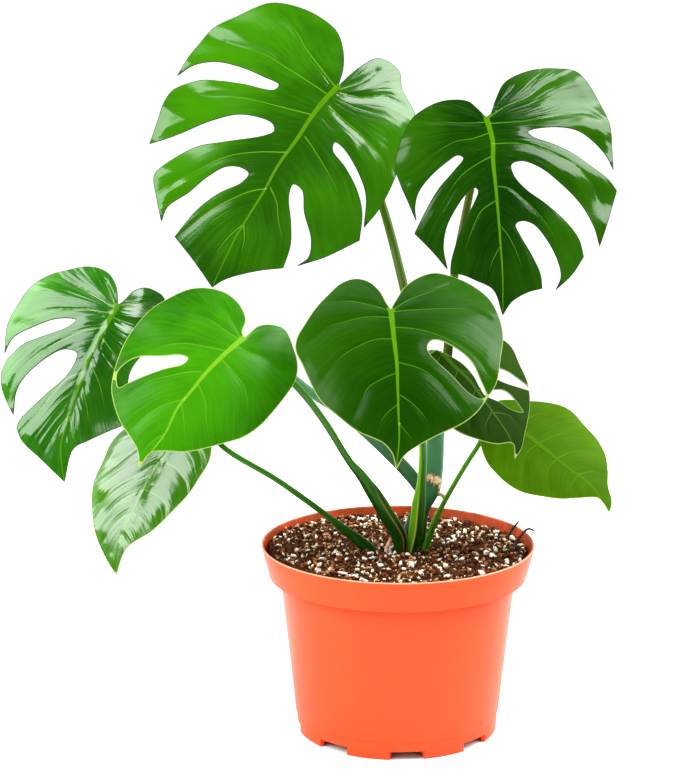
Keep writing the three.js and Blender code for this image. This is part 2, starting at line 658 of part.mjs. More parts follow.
// Perlite, bark and crumbs: rough grains laid by a seeded rule, sunk into the soil, clear of the stems
function soilGrains(stems) {
  const draw = seededDraw(7505);
  const grains = [];
  while (grains.length < GRAIN_COUNT) {
    const turn = draw() * 2 * Math.PI;
    const reach = Math.sqrt(draw()) * GRAIN_REACH;
    const size = THREE.MathUtils.lerp(GRAIN_SIZE[0], GRAIN_SIZE[1], draw() ** 2);
    const [x, y] = [reach * Math.cos(turn), reach * Math.sin(turn)];
    const spin = new THREE.Euler(draw() * 3, draw() * 3, draw() * 3);
    const shape = [1, 0.65 + 0.35 * draw(), 0.6 + 0.3 * draw()];
    if (stems.some((p) => Math.hypot(p[0] - x, p[1] - y) < size + GRAIN_STEM_GAP)) continue;
    const matrix = new THREE.Matrix4().makeRotationFromEuler(spin);
    matrix.setPosition(x, y, soilHeight(x, y) + 0.25 * size);
    const form = size > 2.3 ? new THREE.IcosahedronGeometry(size) : new THREE.OctahedronGeometry(size);
    grains.push(solid(form.scale(...shape).applyMatrix4(matrix)));
  }
  return grains;
}

function soilSolid(stemParts) {
  const feet = stemParts.map((part) => part.points[1]);
  let made = soilBody();
  for (const grain of soilGrains(feet)) made = made.add(grain);
  for (const twig of TWIGS) made = made.add(bentTube(twig.points, twig.widths, 6));
  for (const { points, widths, sides } of stemParts) {
    made = made.subtract(bentTube(points, widths, sides ?? STALK_SIDES, CLEARANCE + 0.05));
  }
  return mainBody(made);
}

// The plant in its pot

const plant = new THREE.Group();
const stemSolid = bentTube(STEM.points, STEM.widths, STEM.sides);
const stemCut = bentTube(STEM.points, STEM.widths, STEM.sides, CLEARANCE);

plant.add(meshOf("pot", potSolid(), 0xf0663a, 0.42));
plant.add(meshOf("crown_stem", stemSolid, 0x2f5a3c, 0.5));

for (const leaf of LEAVES) {
  const blade = meshOf("blade_" + leaf.name, bladeSolid(leaf), leaf.colour, 0.3);
  const holder = new THREE.Group();
  leafMatrix(leaf).decompose(holder.position, holder.quaternion, holder.scale);
  holder.add(blade);
  plant.add(holder);
  plant.add(meshOf("stalk_" + leaf.name, stalkSolid(leaf, stemCut), 0x4a6a1c, 0.45));
}

const shoot = bentTube(SHOOT.points, SHOOT.widths, STALK_SIDES);
plant.add(meshOf("shoot_tip", shoot, 0x3f8f5c, 0.5));
const root = bentTube(AERIAL_ROOT.points, AERIAL_ROOT.widths, STALK_SIDES).subtract(stemCut);
plant.add(meshOf("aerial_root", mainBody(root), 0xc58a72, 0.7));
const frontLeft = LEAVES.find((leaf) => leaf.name === "front_left");
const frontLeftCut = bentTube(stalkLine(frontLeft), frontLeft.stalk.widths, STALK_SIDES, CLEARANCE);
const peg = bentTube(ROOT_PEG.points, ROOT_PEG.widths, STALK_SIDES).subtract(frontLeftCut);
plant.add(meshOf("root_peg", mainBody(peg), 0xd9b39c, 0.7));
plant.add(meshOf("dried_sheath", driedSheath(DRIED_SHEATH), 0xc9a67c, 0.8));

const fromCrown = LEAVES.filter((leaf) => leaf.stalk.seat !== "stem");
const standing = fromCrown.map((leaf) => ({ points: stalkLine(leaf), widths: leaf.stalk.widths }));
plant.add(meshOf("soil", soilSolid([...standing, STEM, SHOOT, AERIAL_ROOT, ROOT_PEG]), 0x3c241a, 0.95));

export default plant;
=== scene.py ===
"""Potted swiss cheese plant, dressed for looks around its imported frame.

Plan lists are in millimetres, in the leaf's own plane or in the frame; meshes are in metres. The origin is
on the pot's axis at the level it stands on, +Z is up, and the leaves face -Y.
"""

import math

import bmesh
import bpy
import numpy as np
from bpy.props import FloatProperty, FloatVectorProperty, IntProperty, PointerProperty
from mathutils import Matrix, Vector, noise
from mathutils.geometry import delaunay_2d_cdt


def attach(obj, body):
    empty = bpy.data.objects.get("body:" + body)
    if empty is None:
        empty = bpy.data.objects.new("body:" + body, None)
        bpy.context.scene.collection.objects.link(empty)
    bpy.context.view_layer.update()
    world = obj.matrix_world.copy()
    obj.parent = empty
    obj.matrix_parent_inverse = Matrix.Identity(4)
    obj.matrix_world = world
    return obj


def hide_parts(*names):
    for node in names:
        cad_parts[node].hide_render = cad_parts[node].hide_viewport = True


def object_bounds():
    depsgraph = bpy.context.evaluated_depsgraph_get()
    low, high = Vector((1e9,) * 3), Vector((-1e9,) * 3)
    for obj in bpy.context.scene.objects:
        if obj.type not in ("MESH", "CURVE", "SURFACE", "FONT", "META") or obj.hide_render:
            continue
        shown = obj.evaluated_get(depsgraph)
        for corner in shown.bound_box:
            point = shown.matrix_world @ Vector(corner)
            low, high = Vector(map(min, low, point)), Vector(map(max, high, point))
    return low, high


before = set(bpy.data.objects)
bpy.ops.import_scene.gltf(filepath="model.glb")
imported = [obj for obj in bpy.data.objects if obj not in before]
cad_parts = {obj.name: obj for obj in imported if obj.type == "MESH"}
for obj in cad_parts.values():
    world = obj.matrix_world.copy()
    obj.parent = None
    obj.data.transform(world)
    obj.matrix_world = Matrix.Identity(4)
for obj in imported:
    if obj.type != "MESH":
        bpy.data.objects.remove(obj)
CAD_BOX = [list(corner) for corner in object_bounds()]

bl_info = {
    "name": "Potted swiss cheese plant",
    "version": (1, 0, 0),
    "blender": (4, 5, 0),
    "location": "View3D > Sidebar > Plant",
    "description": "Builds a swiss cheese plant in a nursery pot, with its soil, light and camera",
    "category": "Add Mesh",
}

MM = 0.001
BODY = "root"

# Leaves. A blade starts where its stalk joins it (at) and ends at tip; face is the way its upper side
# looks. Points are (along the midrib, across it), across being positive to the right of someone who
# looks at the face with the tip down. The margin starts at the stalk and passes the left side, the tip
# and the right side. Each run of its points is one smooth stretch, and two runs meet in a sharp corner.
# arch lifts the middle of the midrib, drop lowers the left and right margins at half_width from the
# midrib, and wave is the height, length and shift of the margin's waves. A stalk's widths are its
# half-widths at its points and at its last two, which come from the leaf.
LEAVES = {
    "top_left": {
        "at": (-35, 55, 373),
        "tip": (-107, 2, 264),
        "face": (0.06, -0.88, 0.45),
        "half_width": 76,
        "arch": 8,
        "drop": (12, 36),
        "wave": (1.6, 34, 0.4),
        "margin": [
            [(0, 0), (-12, -3.5), (-23, -10), (-32, -19.5), (-35.5, -33.5), (-34.5, -49), (-29, -63.5),
             (-21, -70), (-8.5, -76), (4.5, -83.5), (19.5, -85), (41, -85)],
            [(41, -85), (31, -79.5), (22, -68.5), (18, -54), (17, -39.5), (17, -30), (21.5, -30.5),
             (27.5, -48), (32.5, -61), (37.5, -71.5), (49, -82), (58, -82.5), (70, -80), (85.5, -76.5)],
            [(85.5, -76.5), (70.5, -62.5), (56, -51.5), (46, -41.5), (41.5, -31), (40.5, -20.5), (44, -17),
             (49, -20), (64, -38), (75.5, -52), (91.5, -61), (101, -63.5), (111, -56), (122.5, -45.5)],
            [(122.5, -45.5), (113.5, -47), (100.5, -40.5), (87.5, -36), (77, -30), (73, -22), (74, -16),
             (81, -17), (92, -24.5), (107.5, -31), (126.5, -34)],
            [(126.5, -34), (133.5, -16.5), (141, 0)],
            [(141, 0), (133.5, 4), (120, 16.5), (109.5, 28.5)],
            [(109.5, 28.5), (96.5, 25.5), (86, 19.5), (73.5, 10.5), (66, 9), (66, 15), (76, 22.5),
             (86.5, 33.5), (96, 37.5), (104, 34.5)],
            [(104, 34.5), (91, 44.5), (79.5, 51), (69.5, 56.5)],
            [(69.5, 56.5), (55, 49.5), (46.5, 41), (39.5, 28.5), (35.5, 17.5), (30.5, 16), (30.5, 21.5),
             (36.5, 35), (45, 46), (62, 55)],
            [(62, 55), (47, 56.5), (30.5, 55.5), (14.5, 52.5), (5, 49.5), (-14.5, 45), (-23, 31),
             (-31.5, 24), (-32.5, 15.5), (-30, 9.5), (-21, 5), (-10.5, 2), (0, 0)],
        ],
        "holes": [],
        "midrib": [(12, -2), (25, -3), (41, -3), (61, -4), (79, -3), (95, -3), (110, -3), (122, -2)],
        "left_veins": [
            [(1, -2), (-6, -17), (-12, -29), (-18, -38), (-26, -54)],
            [(8, -2), (6, -22), (5, -35), (4, -45), (9, -73)],
            [(24, -3), (29, -21), (33, -36), (38, -50), (48, -67)],
            [(52, -4), (60, -18), (69, -30), (77, -37), (85, -42), (100, -52)],
            [(77, -3), (83, -10), (91, -16), (105, -25), (116, -30)],
            [(101, -3), (109, -6), (120, -8), (130, -9)],
        ],
        "right_veins": [
            [(1, 2), (-10, 9), (-24, 14)],
            [(3, 3), (0, 11), (-6, 19), (-12, 26), (-15, 37)],
            [(14, 2), (16, 12), (17, 24), (19, 35), (22, 44), (33, 53)],
            [(38, 0), (43, 11), (48, 21), (53, 30), (60, 39)],
            [(75, -1), (81, 7), (88, 12), (96, 19), (105, 23)],
            [(101, -3), (109, 2), (120, 5)],
        ],
        "stalk": {
            "points": [(19.5, 8, 177), (15, 22, 211), (4, 36, 256), (-9, 58, 303)],
            "widths": [3.4, 3, 2.7, 2.5, 2.4, 2.2],
        },
    },
    "top_right": {
        "at": (50, 28, 358),
        "tip": (58, -20, 253),
        "face": (0.05, -0.8, 0.6),
        "half_width": 66,
        "arch": 8,
        "drop": (12, 12),
        "wave": (1.5, 32, 0.1),
        "margin": [
            [(0, 0), (-6.5, -4.5), (-11.5, -9), (-13.5, -17), (-12.5, -27), (-5.5, -40), (4.5, -47),
             (25, -54), (37.5, -52), (49.5, -48), (59.5, -45)],
            [(59.5, -45), (51, -45), (43, -42.5), (34.5, -35.5), (26, -25), (22.5, -18.5), (24.5, -15.5),
             (32, -21.5), (42, -31), (55.5, -40), (67, -46.5)],
            [(67, -46.5), (79, -36.5), (89, -29.5)],
            [(89, -29.5), (76.5, -31), (65, -28.5), (56, -23.5), (47, -16.5), (43, -11), (45, -9),
             (59.5, -16), (71, -22), (84.5, -27), (91.5, -28)],
            [(91.5, -28), (92.5, -22), (96.5, -14), (102.5, -4.5), (116.5, 0)],
            [(116.5, 0), (109.5, 5.5), (104.5, 15), (102.5, 23.5)],
            [(102.5, 23.5), (94.5, 23), (83.5, 18.5), (73, 13), (66, 10.5), (64, 14.5), (66, 21),
             (75.5, 28.5), (87.5, 34), (96.5, 35), (103.5, 31.5)],
            [(103.5, 31.5), (94.5, 42), (84.5, 49.5)],
            [(84.5, 49.5), (75.5, 47.5), (65, 40.5), (54.5, 30), (45, 18), (36.5, 12), (30, 11.5), (28, 18),
             (32, 28), (40.5, 38), (54, 50.5), (67, 56.5), (78.5, 59.5)],
            [(78.5, 59.5), (60.5, 67), (45.5, 73)],
            [(45.5, 73), (40, 69), (32, 60), (22.5, 48.5), (16.5, 36), (13, 26.5), (9.5, 23.5), (6.5, 37),
             (8, 52), (14.5, 62), (23, 69), (33, 72)],
            [(33, 72), (18.5, 73.5), (3.5, 73.5), (-8.5, 71), (-22, 65.5), (-32.5, 58), (-34, 47.5),
             (-33, 34), (-29, 22.5), (-23, 13.5), (-10.5, 6.5), (-2.5, 3), (0, 0)],
        ],
        "holes": [],
        "midrib": [(15, 2), (28, 1), (44, 1), (58, 1), (72, 1), (96, 1)],
        "left_veins": [
            [(1, 0), (-5, -5), (-10, -13)],
            [(3, -1), (3, -8), (2, -18), (-1, -33)],
            [(10, 1), (13, -9), (14, -19), (20, -31), (28, -43)],
            [(25, 0), (29, -8), (34, -16), (40, -22), (55, -32)],
            [(52, 0), (57, -8), (63, -12), (74, -17), (85, -22)],
            [(78, 1), (86, -4), (95, -7)],
        ],
        "right_veins": [
            [(-1, 2), (-11, 11), (-21, 20)],
            [(0, 2), (-7, 12), (-13, 25), (-21, 36), (-27, 47)],
            [(4, 2), (3, 19), (1, 31), (-2, 46), (-4, 60), (1, 70)],
            [(17, 2), (17, 15), (19, 27), (24, 38), (32, 50), (40, 57), (53, 63)],
            [(43, 1), (45, 9), (51, 16), (56, 21), (67, 29), (82, 36)],
            [(66, 1), (71, 5), (82, 10), (96, 14)],
        ],
        "stalk": {
            "points": [(24, 3.2, 176.5), (28.5, 6, 226), (32, 10, 270), (41, 20, 317)],
            "widths": [2.5, 2.8, 2.4, 2.2, 2.1, 1.9],
        },
    },
    "left": {
        "at": (-161, 0, 254),
        "tip": (-190, -38, 159),
        "face": (-0.12, -0.85, 0.45),
        "half_width": 55,
        "arch": 7,
        "drop": (8, 92),
        "wave": (1.3, 28, 0.2),
        "margin": [
            [(0, 0), (-11, -5.5), (-18, -14), (-19, -25.5), (-14, -38), (-8.5, -47.5), (0, -54.5),
             (10.5, -59), (21.5, -61), (43, -57.5)],
            [(43, -57.5), (34, -55), (24.5, -45), (16.5, -33), (14.5, -21), (20, -24.5), (28, -36),
             (36.5, -48), (46, -54.5)],
            [(46, -54.5), (55.5, -54.5), (65.5, -50.5), (76.5, -40.5)],
            [(76.5, -40.5), (65, -42.5), (54, -40), (41, -31.5), (33, -21.5), (33.5, -13.5), (46, -14.5),
             (61.5, -24.5), (78.5, -35.5), (83.5, -36)],
            [(83.5, -36), (89.5, -31), (96.5, -18), (106, 0)],
            [(106, 0), (87, 0.5), (79.5, 7), (65, 19.5)],
            [(65, 19.5), (50.5, 18), (34.5, 16), (15.5, 20), (-1.5, 21.5), (-14.5, 18.5), (-16, 14.5),
             (-15.5, 9.5), (-11, 5), (-3, 2), (0, 0)],
        ],
        "holes": [],
        "midrib": [(11, -2), (24, -4), (38, -6), (50, -6), (63, -7), (75, -7), (87, -7)],
        "left_veins": [
            [(1, -1), (-5, -6), (-13, -14)],
            [(2, -2), (-2, -16), (-6, -31), (-9, -42)],
            [(6, -2), (7, -15), (10, -28), (14, -40), (21, -52), (30, -58)],
            [(15, -3), (20, -14), (26, -22), (38, -35), (51, -44), (63, -47)],
            [(44, -7), (49, -14), (58, -19), (72, -26), (80, -31)],
            [(69, -7), (77, -11), (86, -14)],
        ],
        "right_veins": [
            [(0, 1), (-4, 8), (-10, 15)],
            [(8, 0), (9, 6), (9, 14)],
            [(22, -1), (27, 5), (32, 13)],
            [(37, -4), (47, 4), (62, 11)],
            [(52, -4), (63, 2), (76, 6)],
            [(70, -6), (80, -2), (85, 1)],
        ],
        "stalk": {
            "points": [(15, 4, 141), (6, 3.5, 153.5), (-21, 2, 181), (-35, 1, 192.5), (-50, 0, 202),
                       (-62, 4, 211), (-98, 22, 228), (-134, 33, 238)],
            "widths": [3.4, 3.8, 3.8, 3.2, 2.6, 2.2, 2.1, 2, 1.9, 1.8],
        },
    },
    "front_left": {
        "at": (-87, -48, 245),
        "tip": (-143, -90, 181),
        "face": (0.12, -0.8, 0.6),
        "half_width": 50,
        "arch": 7,
        "drop": (9, 12),
        "wave": (1, 30, 0.6),
        "margin": [
            [(0, 0), (-2, -3), (-10, -6.5), (-16, -15.5), (-17.5, -26.5), (-13.5, -36.5), (-5.5, -44.5),
             (8, -50.5), (20, -52.5), (35.5, -52.5), (49, -49), (63.5, -43), (71, -37), (80.5, -23.5),
             (84, -14), (88, -6), (95, 0)],
            [(95, 0), (91.5, -0.5), (84.5, 0), (80, 4.5), (72.5, 15), (55.5, 28.5), (47, 34), (36.5, 37),
             (23.5, 38), (10.5, 37.5), (0.5, 36), (-7.5, 31.5), (-13.5, 24.5), (-20, 13), (-16.5, 5.5),
             (-11, 1.5), (-3, 0.5), (0, 0)],
        ],
        "holes": [
            [(58.5, -43.5), (50, -42.5), (43.5, -38.5), (36.5, -29), (30.5, -21.5), (29.5, -16.5),
             (34, -16.5), (41.5, -22.5), (53.5, -30.5), (60, -34.5), (65, -37.5)],
        ],
        "midrib": [(16, -2), (30, -3), (44, -3), (57, -3), (71, 0), (85, 0)],
        "left_veins": [
            [(2, -1), (-4, -12), (-10, -26)],
            [(3, -2), (3, -13), (3, -22), (6, -36)],
            [(13, -2), (18, -13), (23, -23), (30, -31), (42, -40)],
            [(32, -6), (37, -12), (44, -18), (51, -24), (65, -31)],
            [(50, -3), (59, -10), (71, -15), (83, -17)],
            [(72, 0), (79, -3), (87, -4)],
        ],
        "right_veins": [
            [(2, 1), (-6, 2), (-14, 6)],
            [(7, 1), (6, 7), (3, 15), (2, 28)],
            [(19, -1), (21, 8), (23, 16), (28, 23), (37, 30)],
            [(39, -2), (44, 6), (52, 13), (60, 21)],
            [(54, -2), (60, 4), (69, 11)],
            [(73, 0), (78, 3)],
        ],
        "stalk": {
            "points": [(1, -9, 101), (1, -9, 109), (0, -10, 119), (-8, -13, 134), (-16, -16, 148.5),
                       (-22, -19, 158.5), (-28, -22, 166.5), (-43.5, -29, 193.5), (-58, -35, 214)],
            "widths": [2.8, 3.2, 4.2, 4.1, 3.7, 2.9, 2.1, 1.9, 2, 1.9, 1.8],
        },
    },
    "front": {
        "at": (-6, -58, 263),
        "tip": (-4, -118, 188),
        "face": (0, -0.7, 0.7),
        "half_width": 60,
        "arch": 8,
        "drop": (10, 12),
        "wave": (1, 36, 0.3),
        "margin": [
            [(0, 0), (-4, -2), (-15, -6), (-23.5, -12.5), (-26, -19.5), (-23, -27), (-15.5, -33.5),
             (-6, -40.5), (5.5, -47), (14, -51.5), (22.5, -52.5), (33, -49), (55.5, -39.5), (65, -31),
             (74.5, -20.5), (82.5, -6), (88.5, -1.5), (96, 0)],
            [(96, 0), (89, 4.5), (83.5, 12), (77.5, 22.5), (70, 36.5), (63.5, 44), (54, 50.5), (44.5, 56),
             (29, 59), (12.5, 61.5), (-1.5, 59.5), (-14.5, 55), (-23.5, 46.5), (-29, 36), (-31, 26),
             (-26.5, 17), (-17.5, 8.5), (-7.5, 3.5), (0, 0)],
        ],
        "holes": [
            [(25, 19), (21, 21.5), (20.5, 26), (26.5, 36.5), (33.5, 43), (43, 47), (53, 50), (55, 47),
             (52.5, 41), (42, 31), (35, 24), (29, 19.5)],
        ],
        "midrib": [(21, 1), (38, 2), (53, 2), (68, 2), (80, 2)],
        "left_veins": [
            [(0, -1), (-13, -6), (-22, -14)],
            [(1, -1), (-5, -14), (-8, -23), (-9, -37)],
            [(6, 0), (5, -15), (7, -25), (9, -33), (18, -45)],
            [(21, 0), (21, -9), (25, -19), (30, -27), (42, -38)],
            [(43, 1), (47, -8), (51, -14), (57, -17), (66, -22)],
            [(61, 2), (67, -5), (75, -10)],
        ],
        "right_veins": [
            [(0, 2), (-7, 10), (-15, 23), (-22, 35)],
            [(2, 1), (0, 14), (-2, 29), (-3, 43), (3, 55)],
            [(13, 1), (14, 14), (17, 25), (23, 36), (31, 45), (42, 53)],
            [(36, 2), (40, 15), (47, 24), (53, 29), (61, 35)],
            [(55, 2), (61, 10), (68, 16), (76, 20)],
            [(72, 2), (78, 7), (82, 10)],
        ],
        "stalk": {
            "points": [(8, -9, 101), (8, -9, 109), (10.8, -12, 123.5), (12, -15, 139.5),
                       (13, -20, 155.5), (13, -28, 178.5), (6, -41, 222)],
            "widths": [2.6, 3, 4.1, 3.7, 2.6, 2.1, 2, 2, 1.9],
        },
    },
    "low_left": {
        "at": (-123, 8, 190),
        "tip": (-163, -24, 100),
        "face": (-0.45, -0.75, 0.45),
        "half_width": 36,
        "arch": 6,
        "drop": (6, 8),
        "wave": (0.8, 26, 0),
        "margin": [
            [(0, 0), (0.5, -12.5), (7, -25), (23, -38), (38.5, -42.5), (55.5, -42), (70, -38), (80, -30.5),
             (89, -22), (97.5, -10.5), (103.5, 0)],
            [(103.5, 0), (87.5, 1.5), (72.5, 13), (52.5, 22.5), (37, 26.5), (24, 27.5), (15, 25), (2.5, 20),
             (-4, 7.5), (0, 0)],
        ],
        "holes": [],
        "midrib": [(27, 1), (42, 0), (56, -2), (71, -4), (81, -5)],
        "left_veins": [
            [(3, -1), (6, -14), (12, -26)],
            [(14, 1), (20, -10), (31, -20), (44, -30)],
            [(35, 1), (46, -11), (57, -23), (69, -31)],
            [(52, -1), (62, -13), (73, -21), (83, -25)],
            [(67, -3), (75, -11), (88, -16)],
            [(81, -5), (88, -7), (94, -8)],
        ],
        "right_veins": [
            [(2, 3), (2, 12), (8, 20)],
            [(15, 2), (16, 13), (22, 22), (30, 27)],
            [(33, 1), (34, 12), (39, 21), (45, 25)],
            [(52, -1), (53, 10), (57, 17), (64, 20)],
            [(67, -3), (69, 5), (75, 11)],
            [(81, -5), (84, 1), (87, 4)],
        ],
        "stalk": {
            "points": [(-10.5, -8, 101), (-12.5, -8, 106.5), (-20.5, -8, 113.8), (-31, -8, 122.3),
                       (-42, -8, 131.4), (-70.4, -5, 151.6), (-102, 0, 170.5)],
            "widths": [2.6, 3, 3.4, 2.6, 1.8, 1.7, 1.7, 1.7, 1.6],
        },
    },
    "behind_right": {
        "at": (22, -20, 233),
        "tip": (64, -48, 176),
        "face": (0.45, -0.75, 0.45),
        "half_width": 36,
        "arch": 6,
        "drop": (6, 8),
        "wave": (0.8, 24, 0.5),
        "margin": [
            [(0, 0), (2.5, -12), (18, -24.5), (35, -26.5), (45.5, -24.5), (58.5, -14), (64.5, -6.5),
             (69, 3.5), (76.5, 0)],
            [(76.5, 0), (73, 8), (66.5, 15.5), (52, 32.5), (38.5, 40.5), (29.5, 44.5), (12, 47.5),
             (-5.5, 34.5), (-8.5, 15), (0, 0)],
        ],
        "holes": [
            [(-7.5, 2), (-5, 9), (4.5, 14.5), (15.5, 15.5), (26, 12), (35, 5.5), (33, 4), (25, 5.5),
             (15.5, 5), (6.5, 1.5), (1, -1.5)],
            [(20.5, 23), (26.5, 27), (31, 32), (38, 35), (46, 38), (39, 26), (32.5, 19.5), (25.5, 16.5)],
            [(32.5, 5), (36.5, 10.5), (40, 18.5), (46, 21.5), (55.5, 22.5), (51.5, 15), (45.5, 10.5),
             (37, 3.5)],
        ],
        "midrib": [(12, -1), (26, 1), (39, 1), (52, 2), (65, 3)],
        "left_veins": [
            [(4, -1), (10, -12), (19, -23)],
            [(17, 0), (24, -10), (35, -18)],
            [(32, 1), (40, -10), (50, -16)],
            [(48, 1), (53, -7), (59, -9)],
        ],
        "right_veins": [
            [(1, 2), (0, 18), (6, 30)],
            [(17, 0), (27, 8), (38, 17), (48, 28)],
            [(32, 1), (40, 8), (49, 19), (59, 23)],
            [(48, 1), (54, 11), (64, 15)],
        ],
        "stalk": {
            "points": [(19, -2, 177), (20.5, -4, 196), (22, -6, 214)],
            "widths": [2.2, 2, 1.9, 1.8, 1.7],
        },
    },
    "low_right": {
        "at": (58, 0, 189),
        "tip": (121, -22, 137),
        "face": (0.1, -0.7, 0.7),
        "half_width": 34,
        "arch": 6,
        "drop": (5, 6),
        "wave": (0.8, 26, 0.2),
        "margin": [
            [(0, 0), (-2, -10.5), (2.5, -20), (12, -27), (19.5, -29.5), (29, -31), (40, -28.5), (50, -23),
             (58.5, -16.5), (66.5, -7.5), (74.5, 1), (80.5, 1), (84.5, 0)],
            [(84.5, 0), (81.5, 6), (74, 11.5), (68, 19.5), (61, 26.5), (52.5, 30), (42, 32.5), (31.5, 34),
             (22, 32.5), (14.5, 28), (7, 21), (-5.5, 9.5), (-6.5, 5.5), (0, 0)],
        ],
        "holes": [],
        "midrib": [(10, 0), (20, 0), (39, 0), (53, 1), (65, 3)],
        "left_veins": [
            [(1, 0), (0, -10), (5, -20)],
            [(12, 1), (11, -11), (18, -24)],
            [(28, 0), (27, -10), (34, -21)],
            [(42, 1), (42, -8), (49, -17)],
            [(57, 2), (58, -6), (62, -9)],
        ],
        "right_veins": [
            [(0, 1), (1, 8), (7, 18)],
            [(12, 1), (15, 14), (23, 30)],
            [(28, 0), (32, 12), (40, 26)],
            [(42, 1), (46, 12), (54, 22)],
            [(57, 2), (61, 10), (66, 15)],
        ],
        "stalk": {
            "points": [(15, -5, 101), (15.8, -5, 108), (19.6, -5, 121.4), (24.6, -5, 134.1),
                       (31.6, -4, 147.1), (40, -3, 161.6), (46.6, -2, 172)],
            "widths": [1.9, 2.1, 1.8, 1.6, 1.5, 1.5, 1.5, 1.5, 1.4],
        },
    },
}

# The look of each blade: its green towards the margin (outer) and beside the midrib (inner), the colours
# of its veins and rim, its roughness and shine, how deep its ripples are and how far it bulges between
# its side veins, in mm. Blades without a midrib colour of their own take the one in the settings.
BLADE_LOOKS = {
    "top_left": {
        "outer": "#3a7800", "inner": "#205000", "vein": "#64961c", "rim": "#1e4507",
        "roughness": 0.14, "shine": 0.6, "ripple": 0.9, "bulge": 0.6,
    },
    "top_right": {
        "outer": "#2a5a02", "inner": "#0f3501", "vein": "#4c861a", "rim": "#143805",
        "roughness": 0.14, "shine": 0.36, "ripple": 1.3, "bulge": 0.6,
    },
    "left": {
        "outer": "#3c8210", "inner": "#1c5406", "vein": "#6b9438", "rim": "#20470e",
        "roughness": 0.15, "shine": 0.75, "ripple": 1.5, "bulge": 0.9,
    },
    # front_left's greens run dark towards its margin and light beside its midrib: painted shade, for the
    # upper part of the blade turns away from the light.
    "front_left": {
        "outer": "#1f5800", "inner": "#3c8600", "vein": "#5c9420", "midrib": "#6a9e20", "rim": "#9aac59",
        "roughness": 0.3, "shine": 0.16, "ripple": 0.18, "bulge": 0.6,
    },
    "front": {
        "outer": "#265400", "inner": "#173e00", "vein": "#457612", "rim": "#8c9c5c",
        "roughness": 0.2, "shine": 0.15, "ripple": 0.22, "bulge": 0.5,
    },
    "low_left": {
        "outer": "#4d830a", "inner": "#2c6206", "vein": "#6f9134", "rim": "#8ca64f",
        "roughness": 0.15, "shine": 1.0, "ripple": 0.8, "bulge": 0.5,
    },
    # behind_right's dark greens, veins and midrib are painted shade: the blade lies in the shadow of the
    # leaves before it.
    "behind_right": {
        "outer": "#2c4c00", "inner": "#1d3800", "vein": "#436614", "midrib": "#3a5c08", "rim": "#87975d",
        "roughness": 0.55, "shine": 0.05, "ripple": 0.15, "bulge": 0.5,
    },
    "low_right": {
        "outer": "#557c00", "inner": "#3e6400", "vein": "#557c06", "midrib": "#4c7404", "rim": "#5e7e1a",
        "roughness": 0.55, "shine": 0.05, "ripple": 0.12, "bulge": 0.5,
    },
}
UNDERSIDE_LIGHT = "#6f9a4c"
UNDERSIDE_DARK = "#517d33"

# Half-widths of a midrib and of a side vein at these shares of their length, in mm
MIDRIB_SHARES, MIDRIB_WIDTHS = (0, 0.15, 0.5, 1), (1.7, 1.35, 0.8, 0.25)
VEIN_SHARES, VEIN_WIDTHS = (0, 0.55, 1), (0.42, 0.252, 0.12)
# The share of a side vein from which its colour fades
VEIN_FADES = 0.6
# How far the line of a side vein is thought to run on past its end, and the usual distance between two
# side veins, in mm
VEIN_REACH = 60
VEIN_SPACING = 14

# The mesh of a blade, in shares of its step: how far apart its rows of points are, how much room there is
# between them and an outline and between them and a vein, and how near a vein comes to an outline
ROW_SPACING, OUTLINE_ROOM, VEIN_ROOM, VEIN_STOP = 0.87, 0.62, 0.5, 0.6

# The relief of a blade, each with its height or depth and its width in mm: the gutter that the midrib lies
# in, the rib in it, the hollows over side veins, the margin's curl, and the keels under midrib and veins
GUTTER = (0.15, 3.6)
RIB = (0.28, 1.7)
VEIN_HOLLOW = (0.28, 2.1)
CURL = (0.15, 2.0)
KEEL = (1.1, 1.5)
VEIN_KEEL = (0.3, 0.7)
# How much lower a gutter, rib and keel are at the tip, as a share
TIP_FADE = 0.7
# How far the rim stands out between the two skins, as a share of the blade's thickness
RIM_REACH = 0.4
# How far every blade stays inside the CAD model's box, and a distance beyond any on a blade, in mm
BOX_GAP = 0.01
FAR_OFF = 1e3

# The crown, in mm
STEM = {
    "points": [(13, 4, 101), (13, 4, 108), (15.3, 4, 131), (20, 4, 143), (21.2, 4, 156), (21.5, 3.5, 178)],
    "widths": [2.8, 3, 3.2, 4.4, 5.2, 5.3],
}
AERIAL_ROOT = {
    "points": [
        (22, 4, 140.5), (25.4, 3, 140.4), (27.2, 1.2, 138.4), (25.8, 0.8, 135), (21.1, 2, 127),
        (19, 3, 117), (18.6, 3, 106),
    ],
    "widths": [1.2, 1.2, 1.2, 1.1, 1, 0.9, 0.8],
}
SHOOT = {
    "points": [(4.5, -1, 102), (4.7, -1, 114), (5.3, -1, 122), (7, -1, 130.6)],
    "widths": [2, 2.3, 1.9, 0.4],
}
ROOT_PEG = {"points": [(-3.9, -10, 117.6), (-6, -11, 113.8), (-8.2, -12.1, 105)], "widths": [1, 1.3, 1.2]}
DRIED_SHEATH = {
    "bottom": (19.4, 4, 141.5), "top": (21.2, 4, 155), "radius": 5.8, "thickness": 0.42, "arc": (-130, -38),
    "cells": (40, 12),
}
TWIGS = [
    {"points": [(64, 22, 106), (68.7, 20, 115), (72.2, 20, 119.5)], "widths": [0.9, 0.8, 0.5]},
    {
        "points": [(67, 3, 106), (72, 5, 114.6), (77, 5, 119.4), (80.6, 5, 117.6)],
        "widths": [1, 0.9, 0.7, 0.4],
    },
]
# The last bend of a stalk, along the midrib and out of the face, and how far along the midrib and how far
# under the blade's middle it ends
STALK_BEND = (-2, -11)
STALK_END = (3, -2.6)

